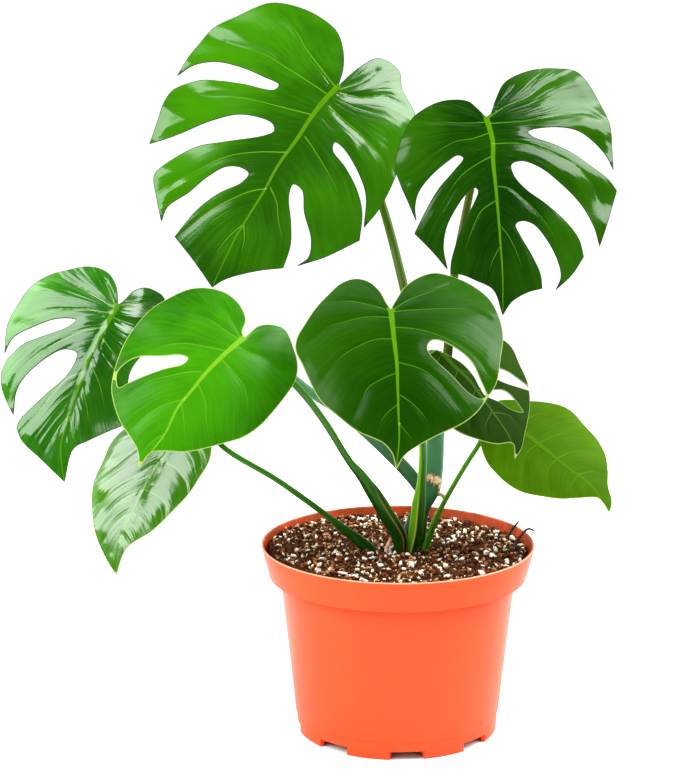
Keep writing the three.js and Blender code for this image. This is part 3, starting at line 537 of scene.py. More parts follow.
# How each stalk is sheathed: from and to which share of its length, which way its open side faces (0 is
# left, 90 behind, 180 right and 270 in front), and how far its two wings stand out, as a share of its
# half-width. A sheath opens between the SHEATH_OPENS shares past its start and closes over the last
# SHEATH_CLOSES. In its section, the wings stand off the middle of the open side by WING_TURN, and they and
# the groove between them have these widths, in radians. The groove's depth is a share of the half-width.
SHEATH_OPENS, SHEATH_CLOSES = (-0.05, 0.02), 0.12
WING_TURN, WING_WIDTH = 0.62, 0.2
GROOVE_WIDTH, GROOVE_DEPTH = 0.42, 0.42
SHEATHS = {
    "front_left": {"span": (0.0, 0.46), "turn": 200, "wing": 0.30},
    "front": {"span": (0.0, 0.5), "turn": 318, "wing": 0.34},
    "low_left": {"span": (0.0, 0.42), "turn": 150, "wing": 0.26},
    "left": {"span": (0.0, 0.5), "turn": 130, "wing": 0.2},
    "low_right": {"span": (0.0, 0.4), "turn": 20, "wing": 0.22},
}
# A stalk's upper and lower colour, and for some the colours of its wings and the painted light and shade of
# its left side
STALK_LOOKS = {
    "top_left": ("#4e6e14", "#2f4a0c"),
    "top_right": ("#5c6c1c", "#3a4a10"),
    "left": ("#5c8a62", "#42704a", "#6c8e66"),
    "front_left": ("#3c7a12", "#163e10", "#a0824a", "#1b4614"),
    "front": ("#356c0c", "#143c0c", "#b8a06c", "#669c10"),
    "low_left": ("#34700c", "#163c08", "#5c8a24"),
    "behind_right": ("#3c6414", "#26460c"),
    "low_right": ("#4a880e", "#38700c", "#6ca030", "#56981a"),
}

# The pot, in mm: the rim and its band, the body and foot, the wall's thickness, the floor's two faces and
# the drainage notches. Edges that meet at more than SMOOTH_ANGLE degrees are shaded as corners.
POT_HEIGHT = 112.6
RIM_RADIUS = 80
BAND_HEIGHT = 18.6
BAND_FOOT_RADIUS = 75.6
BODY_TOP_RADIUS = 69
BODY_FOOT_RADIUS = 60
FOOT_RADIUS = 58.8
FOOT_HEIGHT = 10.5
LIP_RADIUS = 0.8
WALL = 1.6
FLOOR_UNDERSIDE = 2.5
FLOOR_TOP = 4.1
NOTCH_COUNT = 8
NOTCH_TURN = 4.6
NOTCH = {"height": 5, "below": 1, "inner": 49, "outer": 63, "inner_width": 12, "outer_width": 25}
SMOOTH_ANGLE = 38

# The soil, in mm: its level on the pot's axis, how it slopes, its radius, and the heights and radii by
# which its edge is drawn down inside the pot's band, in under it, and down to the pot's floor
SOIL_LEVEL = 109.3
SOIL_FALL = (-0.022, -0.015)
SOIL_RADIUS = 76.2
SOIL_SKIRT = ((96.4, 73.2), (96.0, 66.6), (4.8, 57.0))
SOIL_CELLS = 140
# The packed soil lies SOIL_SUNK under the loose grains, and its own crumbs are this high and dense
SOIL_SUNK, CRUMB_HEIGHT, CRUMB_SCALE = 0.9, 1.3, 0.28

# Loose grains: the smallest and largest radius in mm, their form along three directions, how rough they
# are, and how far their middle stands above the soil, as a share of the radius
GRAINS = {
    "peat_crumbs": {"sizes": (0.35, 1.7), "form": (1, 0.7, 0.55), "rough": 0.3, "rise": 0.3},
    "bark_chips": {"sizes": (0.5, 2.4), "form": (1.6, 0.6, 0.3), "rough": 0.2, "rise": 0.35},
    "perlite_grains": {"sizes": (0.2, 1.95), "form": (1.15, 0.85, 0.6), "rough": 0.28, "rise": 0.35},
}
BARK_COUNT = 300
# The higher this is, the more of the grains are small
SMALL_MORE_OFTEN = 2.6
# A grain's three measures are its kind's, each times a number between these two
UNEVEN = (0.75, 1.25)
# A grain above this radius keeps this far from the middle of every stem, in mm
LARGE_GRAIN, STEM_ROOM = 1.4, 3.4
# Grains are strewn within one radius of the pot's axis, and none reaches past the other, in mm
STREWN_RADIUS, GRAIN_LIMIT = SOIL_RADIUS - 1.5, SOIL_RADIUS + 0.6

# The camera stands where the photograph was taken from: place and reach in metres, pitch in degrees, and
# lens and sensor in mm
CAMERA_PLACE = (-0.03415, -1.3911, 0.5269)
CAMERA_PITCH = 13.114
CAMERA_LENS = 113.64
CAMERA_SENSOR = 36
CAMERA_REACH = 50

# Softboxes: name, the way they stand from the plant, how far away, their width and height, and brightness
SOFTBOXES = [
    ("window_left", (-0.808, -0.187, 0.559), 2.0, (2.3, 1.9), 3.8),
    ("window_right", (0.766, 0.027, 0.643), 2.0, (1.4, 1.7), 6.2),
]
PLANT_MIDDLE = (-0.05, -0.02, 0.28)
# Blender's watts for a square metre of softbox at a brightness of 1
WATTS = 4
# How bright the room before the plant is in its gloss, and how soft the backdrop's edge is
ROOM_IN_GLOSS = 0.06
BACKDROP_EDGE = 0.35
FLOOR_RADIUS = 0.7


# Colour and nodes


def linear(code):
    """A hex sRGB colour as linear red, green, blue and full alpha."""
    parts = [int(code[i : i + 2], 16) / 255 for i in (1, 3, 5)]
    return tuple(c / 12.92 if c <= 0.04045 else ((c + 0.055) / 1.055) ** 2.4 for c in parts) + (1.0,)


def fill(tree, node, inputs):
    """Fills a node's inputs. A socket is linked, and a plain value is set on the input itself."""
    for name, value in inputs.items():
        if isinstance(value, bpy.types.NodeSocket):
            tree.links.new(value, node.inputs[name])
        else:
            node.inputs[name].default_value = value


def add_node(tree, kind, inputs=None, **settings):
    """Adds a node with its settings and inputs."""
    made = tree.nodes.new(kind)
    for name, value in settings.items():
        setattr(made, name, value)
    fill(tree, made, inputs or {})
    return made


def new_material(name):
    """An empty material with its shader and output, and the coordinates of the object."""
    material = bpy.data.materials.new(name)
    material.use_nodes = True
    tree = material.node_tree
    tree.nodes.clear()
    shader = add_node(tree, "ShaderNodeBsdfPrincipled")
    add_node(tree, "ShaderNodeOutputMaterial", {"Surface": shader.outputs["BSDF"]})
    place = add_node(tree, "ShaderNodeTexCoord").outputs["Object"]
    return material, tree, shader, place


def reckon(tree, operation, *values):
    """The result of one sum on sockets and numbers."""
    return add_node(tree, "ShaderNodeMath", dict(enumerate(values)), operation=operation).outputs[0]


def share(tree, value, low, high):
    """A socket's value run from 0 at low to 1 at high."""
    inputs = {"Value": value, "From Min": low, "From Max": high}
    return add_node(tree, "ShaderNodeMapRange", inputs, interpolation_type="SMOOTHSTEP").outputs["Result"]


def spread(tree, value, low, high):
    """A socket's value of 0 to 1 run from low to high."""
    inputs = {"Value": value, "To Min": low, "To Max": high}
    return add_node(tree, "ShaderNodeMapRange", inputs).outputs["Result"]


def blend(tree, factor, first, second, kind="MIX"):
    """Two colours mixed by a socket or a number."""
    inputs = {0: factor, 6: first, 7: second}
    return add_node(tree, "ShaderNodeMix", inputs, data_type="RGBA", blend_type=kind).outputs[2]


def axis(tree, vector, letter):
    """One of a vector's three numbers."""
    return add_node(tree, "ShaderNodeSeparateXYZ", {"Vector": vector}).outputs[letter]


def speckle(tree, place, size, detail=3.0, roughness=0.55):
    """Noise whose lumps are about size millimetres across, from 0 to 1."""
    inputs = {"Vector": place, "Scale": 0.5 / (size * MM), "Detail": detail, "Roughness": roughness}
    return add_node(tree, "ShaderNodeTexNoise", inputs).outputs["Fac"]


def streaks(tree, way, scales, detail):
    """Noise drawn out into streaks, by its scale along each of three ways that are measured in mm."""
    drawn = add_node(tree, "ShaderNodeMapping", {"Vector": way, "Scale": scales}).outputs[0]
    inputs = {"Vector": drawn, "Scale": 1.0, "Detail": detail}
    return add_node(tree, "ShaderNodeTexNoise", inputs).outputs["Fac"]


def bump(tree, height, depth, under=None):
    """Relief of a depth in millimetres, over other relief where there is any."""
    inputs = {"Strength": 1.0, "Distance": depth * MM, "Height": height}
    if under is not None:
        inputs["Normal"] = under
    return add_node(tree, "ShaderNodeBump", inputs).outputs["Normal"]


def attribute(tree, name, output="Fac"):
    """What a piece stores under a name for each of its points."""
    return add_node(tree, "ShaderNodeAttribute", attribute_name=name).outputs[output]


# Materials


def blade_skin(name, look, midrib_colour):
    """Living leaf skin with a waxy cuticle: saturated green, glossy, with streaks along its fine veins."""
    material, tree, shader, place = new_material("leaf_skin_" + name)
    flow = attribute(tree, "flow", "Vector")
    apart = axis(tree, flow, "Y")
    # The finest veins run 1 mm apart beside the side veins. They streak the colour and break up the gloss.
    fine = streaks(tree, flow, (0.9, 0.07, 1.0), 4.0)
    # The colour runs from the inner green beside the midrib to the outer green 60 mm from it, in clouds.
    tone = reckon(tree, "MULTIPLY_ADD", fine, 0.45, speckle(tree, place, 22, 2.0))
    tone = reckon(tree, "MULTIPLY_ADD", share(tree, apart, 0.0, 60.0), 0.45, tone)
    colour = blend(tree, share(tree, tone, 0.55, 1.3), linear(look["inner"]), linear(look["outer"]))
    # Leaf tissue pales over the side veins and in the midrib, and the very margin takes the blade's rim
    # colour.
    vein = reckon(tree, "MULTIPLY", share(tree, attribute(tree, "vein"), 1.3, 0.4), 0.8)
    colour = blend(tree, vein, colour, linear(look["vein"]))
    beside = attribute(tree, "midrib")
    colour = blend(tree, share(tree, beside, 1.15, 0.75), colour, midrib_colour)
    margin = share(tree, attribute(tree, "edge"), 0.45, 0.1)
    colour = blend(tree, margin, colour, linear(look["rim"]))
    # Shallow corrugations about 5 mm apart run the same way and tear the edges of a reflection. They and
    # the fine veins stop short of the midrib, where the two halves of the blade meet.
    ripples = streaks(tree, flow, (0.2, 0.022, 1.0), 2.0)
    clear = reckon(tree, "MINIMUM", share(tree, beside, 1.2, 3.5), share(tree, apart, 2.0, 4.0))
    relief = None
    for height, depth in ((ripples, look["ripple"]), (fine, 0.12)):
        centred = reckon(tree, "SUBTRACT", height, 0.5)
        relief = bump(tree, reckon(tree, "MULTIPLY", centred, clear), depth, relief)
    relief = bump(tree, speckle(tree, place, 3.2, 3.0, 0.6), 0.03, relief)
    # The wax is smoother in some patches than in others, and there is none on the cut margin.
    patches = share(tree, speckle(tree, place, 9, 2.0), 0.2, 0.8)
    roughness = spread(tree, patches, look["roughness"] - 0.04, look["roughness"] + 0.06)
    fill(tree, shader, {
        "Base Color": colour, "Roughness": reckon(tree, "MULTIPLY_ADD", margin, 0.6, roughness),
        "IOR": 1.5, "Specular IOR Level": look["shine"], "Normal": relief,
    })
    return material


def underside_skin():
    """The blade's underside: paler, without the waxy shine, with pale veins and faint streaks."""
    material, tree, shader, _ = new_material("leaf_underside")
    fine = streaks(tree, attribute(tree, "flow", "Vector"), (0.8, 0.06, 1.0), 3.0)
    colour = blend(tree, share(tree, fine, 0.3, 0.75), linear(UNDERSIDE_DARK), linear(UNDERSIDE_LIGHT))
    colour = blend(tree, share(tree, attribute(tree, "vein"), 1.2, 0.5), colour, linear("#a3c47c"))
    colour = blend(tree, share(tree, attribute(tree, "midrib"), 1.15, 0.8), colour, linear("#a9cc6c"))
    relief = bump(tree, fine, 0.15)
    fill(tree, shader, {"Base Color": colour, "Roughness": 0.5, "IOR": 1.42, "Normal": relief})
    return material


def stalk_skin(name, light, dark, edge="#6f8a34", left=None):
    """Smooth stalk skin: satin, ribbed lengthwise, dark towards the soil, paler or browner at the edges of
    its sheath, and on some stalks with painted light and shade over the left side."""
    material, tree, shader, place = new_material("stalk_skin_" + name)
    around = attribute(tree, "around", "Vector")
    # Fibres lie under the skin about 0.8 mm apart and show as long faint lines.
    fibres = streaks(tree, around, (1.3, 0.05, 1.3), 3.0)
    tone = reckon(tree, "ADD", attribute(tree, "rise"), fibres)
    colour = blend(tree, share(tree, tone, 0.55, 1.25), linear(dark), linear(light))
    # Painted light and shade: some stalks get a lighter colour over their left side and some a darker one,
    # as the light falls on them.
    if left:
        colour = blend(tree, share(tree, axis(tree, around, "X"), 0.2, 1.2), colour, linear(left))
    colour = blend(tree, share(tree, attribute(tree, "wing"), 0.4, 0.9), colour, linear(edge))
    relief = bump(tree, speckle(tree, place, 2.0), 0.05, bump(tree, fibres, 0.12))
    fill(tree, shader, {
        "Base Color": colour, "Roughness": 0.34, "IOR": 1.45, "Specular IOR Level": 0.3, "Normal": relief,
    })
    return material


def root_skin(name, light, dark):
    """Dry root skin or dead sheath: matt and scurfy, mottled in two warm tones."""
    material, tree, shader, place = new_material(name)
    scurf = speckle(tree, place, 1.2, 4.0)
    colour = blend(tree, share(tree, scurf, 0.35, 0.65), linear(dark), linear(light))
    fill(tree, shader, {"Base Color": colour, "Roughness": 0.75, "Normal": bump(tree, scurf, 0.25)})
    return material


def pot_plastic(orange):
    """Injection-moulded polypropylene: even terracotta orange with a soft satin shine, and painted light
    and shade.
    """
    material, tree, shader, place = new_material("moulded_polypropylene")
    deeper = (orange[0] * 0.96, orange[1] * 0.92, orange[2] * 0.9, 1.0)
    colour = blend(tree, share(tree, speckle(tree, place, 30, 2.0), 0.3, 0.7), deeper, orange)
    # Dust and scuffs from the nursery pale a few spots.
    scuff = share(tree, speckle(tree, place, 1.5, 5.0, 0.7), 0.66, 0.8)
    colour = blend(tree, reckon(tree, "MULTIPLY", scuff, 0.25), colour, linear("#f58a63"))
    # The top of the lip is painted paler: a painted highlight where its rounded edge catches the light.
    height = axis(tree, place, "Z")
    lip = share(tree, height, (POT_HEIGHT - 0.8) * MM, (POT_HEIGHT - 0.3) * MM)
    colour = blend(tree, lip, colour, linear("#f0a184"))
    # Peat dust and painted shade darken the inner wall above the soil in brown patches: all that lies
    # within the band's outer face.
    across, ahead = axis(tree, place, "X"), axis(tree, place, "Y")
    flat = add_node(tree, "ShaderNodeCombineXYZ", {"X": across, "Y": ahead}).outputs[0]
    reach = add_node(tree, "ShaderNodeVectorMath", {0: flat}, operation="LENGTH").outputs["Value"]
    band_foot = POT_HEIGHT - BAND_HEIGHT
    flare = (RIM_RADIUS - BAND_FOOT_RADIUS) / BAND_HEIGHT
    beside = reckon(tree, "MULTIPLY_ADD", height, -flare, reach)
    outer = BAND_FOOT_RADIUS - flare * band_foot
    within = share(tree, beside, (outer - 0.5) * MM, (outer - 0.9) * MM)
    above = share(tree, height, (band_foot + 1) * MM, (band_foot + 2) * MM)
    dust = share(tree, speckle(tree, place, 9, 4.0, 0.65), 0.25, 0.6)
    dust_and_painted_shade = reckon(tree, "MULTIPLY", reckon(tree, "MULTIPLY", within, above), dust)
    colour = blend(tree, dust_and_painted_shade, colour, linear("#a04e2a"))
    # Painted shade darkens the crease under the band and thins out over the next few millimetres.
    painted_crease_shade = share(tree, height, (band_foot - 7) * MM, (band_foot - 1) * MM)
    under = share(tree, height, (band_foot + 0.2) * MM, band_foot * MM)
    painted_crease_shade = reckon(tree, "MULTIPLY", reckon(tree, "MULTIPLY", painted_crease_shade, under), 0.6)
    colour = blend(tree, painted_crease_shade, colour, linear("#c23a10"))
    # The mould's fine grain, about 0.4 mm, and slow waves of shrinkage
    grain = bump(tree, speckle(tree, place, 0.4, 2.0), 0.012)
    relief = bump(tree, speckle(tree, place, 14, 1.0), 0.1, grain)
    fill(tree, shader, {
        "Base Color": colour, "Roughness": 0.36, "IOR": 1.49, "Specular IOR Level": 0.18, "Normal": relief,
    })
    return material


def soil_crumb(name, colours, size):
    """Moist peat and bark fines: matt and crumbly, from dark to reddish brown with a few pale bits.
    Each crumb has its own tone, and colours are given from the commonest to the rarest."""
    material, tree, shader, place = new_material(name)
    tone = attribute(tree, "tone")
    colour = linear(colours[0])
    for level, code in zip((0.42, 0.7, 0.88), colours[1:]):
        colour = blend(tree, share(tree, tone, level, level + 0.04), colour, linear(code))
    mottle = spread(tree, share(tree, speckle(tree, place, size, 5.0, 0.7), 0.3, 0.7), 0.3, 1.25)
    channels = {"Red": mottle, "Green": mottle, "Blue": mottle}
    shade = add_node(tree, "ShaderNodeCombineColor", channels).outputs[0]
    relief = bump(tree, speckle(tree, place, size / 2, 5.0, 0.75), 0.6)
    fill(tree, shader, {
        "Base Color": blend(tree, 1.0, colour, shade, "MULTIPLY"), "Roughness": 0.75,
        "Specular IOR Level": 0.15, "Normal": relief,
    })
    return material


def perlite():
    """Expanded perlite: white to cream, chalky, with tiny pores and soil in its hollows."""
    material, tree, shader, place = new_material("expanded_perlite")
    pores = speckle(tree, place, 0.9, 4.0, 0.7)
    colour = blend(tree, share(tree, pores, 0.3, 0.55), linear("#a8987c"), linear("#fffaf0"))
    stain = share(tree, speckle(tree, place, 6, 2.0), 0.5, 0.75)
    colour = blend(tree, stain, colour, linear("#ecdcb8"), "MULTIPLY")
    fill(tree, shader, {"Base Color": colour, "Roughness": 0.8, "Normal": bump(tree, pores, 0.35)})
    return material


def white_paper():
    """Matt white paper sweep: plain, with a very faint tooth."""
    material, tree, shader, place = new_material("white_paper")
    tooth = speckle(tree, place, 2.0, 3.0)
    colour = blend(tree, tooth, linear("#f6f6f6"), linear("#fafafa"))
    fill(tree, shader, {"Base Color": colour, "Roughness": 0.9})
    return material


# Light


def light_world(scene, room):
    """A white backdrop behind the plant, and a dim room on the side the plant faces. The camera sees white
    paper all round."""
    world = bpy.data.worlds.new("studio_fill")
    world.use_nodes = True
    tree = world.node_tree
    tree.nodes.clear()
    path = add_node(tree, "ShaderNodeLightPath").outputs
    depth = axis(tree, add_node(tree, "ShaderNodeTexCoord").outputs["Generated"], "Y")
    before = spread(tree, path["Is Glossy Ray"], room, ROOM_IN_GLOSS)
    behind = spread(tree, share(tree, depth, 0.0, BACKDROP_EDGE), before, 1.0)
    seen = spread(tree, path["Is Camera Ray"], behind, 1.0)
    glow = add_node(tree, "ShaderNodeBackground", {"Color": (1, 1, 1, 1), "Strength": seen}).outputs[0]
    add_node(tree, "ShaderNodeOutputWorld", {"Surface": glow})
    scene.world = world


def hang_softbox(name, way, distance, size, brightness):
    """An oblong area light that faces the plant from a direction."""
    away = Vector(way).normalized()
    light = bpy.data.lights.new(name, "AREA")
    light.shape = "RECTANGLE"
    light.size, light.size_y = size
    light.energy = brightness * size[0] * size[1] * WATTS
    lamp = bpy.data.objects.new(name, light)
    lamp.location = Vector(PLANT_MIDDLE) + away * distance
    lamp.rotation_euler = away.to_track_quat("Z", "Y").to_euler()
    bpy.context.scene.collection.objects.link(lamp)


# Shaping


def curve_through(points, step, closed=False):
    """Points about step apart on a smooth centripetal curve that keeps the given ones, and how far along
    each one is, counted in given points. The last given point of an open curve is left out."""
    points = np.array(points, float)
    count = len(points)
    made, counted = [], []
    for i in range(count if closed else count - 1):
        b, c = points[i], points[(i + 1) % count]
        a = points[i - 1] if closed or i else 2 * b - c
        d = points[(i + 2) % count] if closed or i + 2 < count else 2 * c - b
        ab, bc, cd = (max(np.linalg.norm(q - p), 1e-9) ** 0.5 for p, q in ((a, b), (b, c), (c, d)))
        leave = ((b - a) / ab - (c - a) / (ab + bc)) * bc + c - b
        arrive = ((d - c) / cd - (d - b) / (bc + cd)) * bc + c - b
        steps = max(1, round(np.linalg.norm(c - b) / step))
        for t in np.arange(steps) / steps:
            bend = (2 * t**3 - 3 * t**2 + 1) * b + (t**3 - 2 * t**2 + t) * leave
            made.append(bend + (3 * t**2 - 2 * t**3) * c + (t**3 - t**2) * arrive)
            counted.append(i + t)
    return np.array(made), np.array(counted)


def segment_distance(points, starts, ends):
    """Each point's distance to the nearest of some segments, that segment's number, and the share of it
    passed there."""
    best = np.full(len(points), 1e9)
    which = np.zeros(len(points), int)
    along = np.zeros(len(points))
    for i in range(len(starts)):
        run = ends[i] - starts[i]
        t = np.clip((points - starts[i]) @ run / max(run @ run, 1e-12), 0, 1)
        gap = np.linalg.norm(points - starts[i] - t[:, None] * run, axis=1)
        near = gap < best
        best[near], which[near], along[near] = gap[near], i, t[near]
    return best, which, along


def inside(points, outline):
    """Whether each point lies inside a closed outline."""
    odd = np.zeros(len(points), bool)
    x, y = points[:, 0], points[:, 1]
    for (x0, y0), (x1, y1) in zip(outline, np.roll(outline, -1, axis=0)):
        if y0 != y1:
            crosses = (y0 > y) != (y1 > y)
            odd ^= crosses & (x < (x1 - x0) * (y - y0) / (y1 - y0) + x0)
    return odd


def mesh_object(name, points, faces, materials, slots=None):
    """A mesh object at the origin, smooth all over, its points given in millimetres."""
    mesh = bpy.data.meshes.new(name)
    mesh.from_pydata((np.array(points, float) * MM).tolist(), [], [list(map(int, f)) for f in faces])
    for material in materials:
        mesh.materials.append(material)
    if slots is not None:
        mesh.polygons.foreach_set("material_index", np.array(slots, np.int32))
    mesh.polygons.foreach_set("use_smooth", np.ones(len(mesh.polygons), bool))
    mesh.update()
    made = bpy.data.objects.new(name, mesh)
    bpy.context.scene.collection.objects.link(made)
    return made


def give(piece, name, values):
    """Stores a number or a vector for each point of a piece, for its material to read."""
    values = np.array(values, np.float32)
    kind = "FLOAT" if values.ndim == 1 else "FLOAT_VECTOR"
    layer = piece.data.attributes.new(name, kind, "POINT")
    layer.data.foreach_set("value" if kind == "FLOAT" else "vector", values.ravel())


def dress(piece, slot_name, *nodes):
    """Makes a piece ride on the plant's body in place of its CAD nodes."""
    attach(piece, BODY)
    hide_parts(*nodes)


def fresh():
    """Leaves nothing selected, with Blender in object mode."""
    if bpy.context.object and bpy.context.object.mode != "OBJECT":
        bpy.ops.object.mode_set(mode="OBJECT")
    bpy.ops.object.select_all(action="DESELECT")
    bpy.context.view_layer.objects.active = None


# Blades


def leaf_frame(leaf):
    """Where the blade starts, and its directions along the midrib, across it and out of its face."""
    start, end = np.array(leaf["at"], float), np.array(leaf["tip"], float)
    length = np.linalg.norm(end - start)
    midrib = (end - start) / length
    face = np.array(leaf["face"], float)
    face -= face @ midrib * midrib
    face /= np.linalg.norm(face)
    return start, midrib, np.cross(face, midrib), face, length


def blade_height(leaf, length, u, v):
    """The blade's height over its flat plane, as in the frame."""
    along = u / length
    out = np.abs(v) / leaf["half_width"]
    drop = np.where(v < 0, leaf["drop"][0], leaf["drop"][1]) * out**1.5
    high, long, shift = leaf["wave"]
    wave = high * np.sin((u / long + shift) * 2 * math.pi) * np.minimum(out, 1) ** 2
    return leaf["arch"] * 4 * along * (1 - along) - drop + wave


def on_blade(points, outlines):
    """Whether each point lies inside the margin and outside every hole."""
    kept = inside(points, outlines[0])
    for hole in outlines[1:]:
        kept &= ~inside(points, hole)
    return kept


def edge_distance(points, outlines):
    """Each point's distance to the nearest outline."""
    gaps = [segment_distance(points, line, np.roll(line, -1, axis=0))[0] for line in outlines]
    return np.min(gaps, axis=0)


def vein_lines(leaf, outlines, length, step):
    """The midrib and the side veins as fine lines of points, each cut off short of the margin."""
    midrib = [(0, 0), *leaf["midrib"], (length, 0)]
    lines = [curve_through(midrib, step)[0]]
    for side in ("left_veins", "right_veins"):
        for points in leaf[side]:
            line = curve_through(points, step)[0]
            clear = on_blade(line, outlines) & (edge_distance(line, outlines) > step * VEIN_STOP)
            if not clear.all():
                line = line[: max(2, int(np.argmin(clear)))]
            lines.append(line)
    return lines


def blade_plan(leaf, length, step):
    """Points and triangles that fill the blade's outline in its plane, with edges along its veins."""
    outlines = [np.vstack([curve_through(run, step)[0] for run in leaf["margin"]])]
    outlines += [curve_through(hole, step, closed=True)[0] for hole in leaf["holes"]]
    lines = vein_lines(leaf, outlines, length, step)
    low, high = outlines[0].min(0), outlines[0].max(0)
    rows = []
    for j, v in enumerate(np.arange(low[1], high[1], step * ROW_SPACING)):
        u = np.arange(low[0] + (j % 2) * step / 2, high[0], step)
        rows.append(np.column_stack([u, np.full(len(u), v)]))
    filling = np.vstack(rows)
    filling = filling[on_blade(filling, outlines)]
    filling = filling[edge_distance(filling, outlines) > step * OUTLINE_ROOM]
    for line in lines:
        gap = segment_distance(filling, line[:-1], line[1:])[0]
        filling = filling[gap > step * VEIN_ROOM]
    points, edges = [], []
    for line in outlines:
        first = len(points)
        points += line.tolist()
        edges += [(first + i, first + (i + 1) % len(line)) for i in range(len(line))]
    for line in lines:
        first = len(points)
        points += line.tolist()
        edges += [(first + i, first + i + 1) for i in range(len(line) - 1)]
    points += filling.tolist()
    places, _, triangles, *_ = delaunay_2d_cdt([Vector(p) for p in points], edges, [], 0, 1e-4)
    places = np.array([p[:] for p in places])
    triangles = np.array([t for t in triangles if len(t) == 3])
    triangles = triangles[on_blade(places[triangles].mean(1), outlines)]
    used, triangles = np.unique(triangles, return_inverse=True)
    return places[used], triangles.reshape(-1, 3), outlines


def vein_flow(leaf, places, length, step):
    """For each point: the midrib's and the nearest side vein's distance in half-widths, the same in mm,
    the place between two side veins from 0 to 1, and how far across them it lies from the first, in mm."""
    midrib = curve_through([(0, 0), *leaf["midrib"], (length, 0)], step)[0]
    midrib_gap = segment_distance(places, midrib[:-1], midrib[1:])[0]
    middle = np.interp(np.clip(places[:, 0] / length, 0, 1), MIDRIB_SHARES, MIDRIB_WIDTHS)
    middle_v = np.interp(places[:, 0], midrib[:, 0], midrib[:, 1])
    flow = np.zeros(len(places))
    between = np.zeros(len(places))
    vein_gap = np.full(len(places), FAR_OFF)
    vein_share = np.full(len(places), FAR_OFF)
    for side, sign in (("left_veins", -1), ("right_veins", 1)):
        mine = np.where(places[:, 1] > middle_v, 1, -1) == sign
        points = places[mine]
        gaps, past = [], []
        for vein in leaf[side]:
            line = curve_through(vein, step)[0]
            gap, i, t = segment_distance(points, line[:-1], line[1:])
            done = (i + t) / len(line)
            faded = gap / np.interp(done, VEIN_SHARES, VEIN_WIDTHS) + np.maximum(done - VEIN_FADES, 0) * 3
            vein_share[mine] = np.minimum(vein_share[mine], faded)
            vein_gap[mine] = np.minimum(vein_gap[mine], gap)
            # The vein's own line runs on past its end, so that the flow beside it stays even.
            last = line[-1] - line[-4]
            ends = np.array([*line[1:], line[-1] + last / np.linalg.norm(last) * VEIN_REACH])
            gap, i, _ = segment_distance(points, line, ends)
            way, off = (ends - line)[i], points - line[i]
            gaps.append(gap)
            past.append(sign * (way[:, 0] * off[:, 1] - way[:, 1] * off[:, 0]) <= 0)
        gaps, past = np.array(gaps), np.array(past)
        # A point lies between the last vein that it is past and the next one.
        pair = np.where(past.all(axis=0), len(past), np.argmin(past, axis=0)) - 1
        pair = np.clip(pair, 0, len(past) - 2)
        near, far = gaps[pair, np.arange(len(points))], gaps[pair + 1, np.arange(len(points))]
        part = near / (near + far + 1e-6)
        between[mine] = part
        flow[mine] = (pair + part) * VEIN_SPACING
    return midrib_gap / middle, vein_share, midrib_gap, vein_gap, between, flow


def smooth_step(value, low, high):
    """A value run evenly from 0 at low to 1 at high, with soft ends."""
    t = np.clip((value - low) / (high - low), 0, 1)
    return t * t * (3 - 2 * t)


def ridge(gap, height, width):
    """The height of a rounded ridge at a distance from its line."""
    return height * np.exp(-((gap / width) ** 2))


def sheet_normals(points, triangles):
    """Directions square to a sheet at its points."""
    a, b, c = (points[triangles[:, k]] for k in range(3))
    square = np.cross(b - a, c - a)
    normals = np.zeros_like(points)
    for k in range(3):
        np.add.at(normals, triangles[:, k], square)
    return normals / np.maximum(np.linalg.norm(normals, axis=1), 1e-12)[:, None]


def border_edges(triangles):
    """The edges of a sheet that only one triangle has, in the way that triangle runs."""
    edges = np.vstack([triangles[:, (0, 1)], triangles[:, (1, 2)], triangles[:, (2, 0)]])
    twin = {tuple(e) for e in edges.tolist()}
    return [e for e in edges.tolist() if (e[1], e[0]) not in twin]


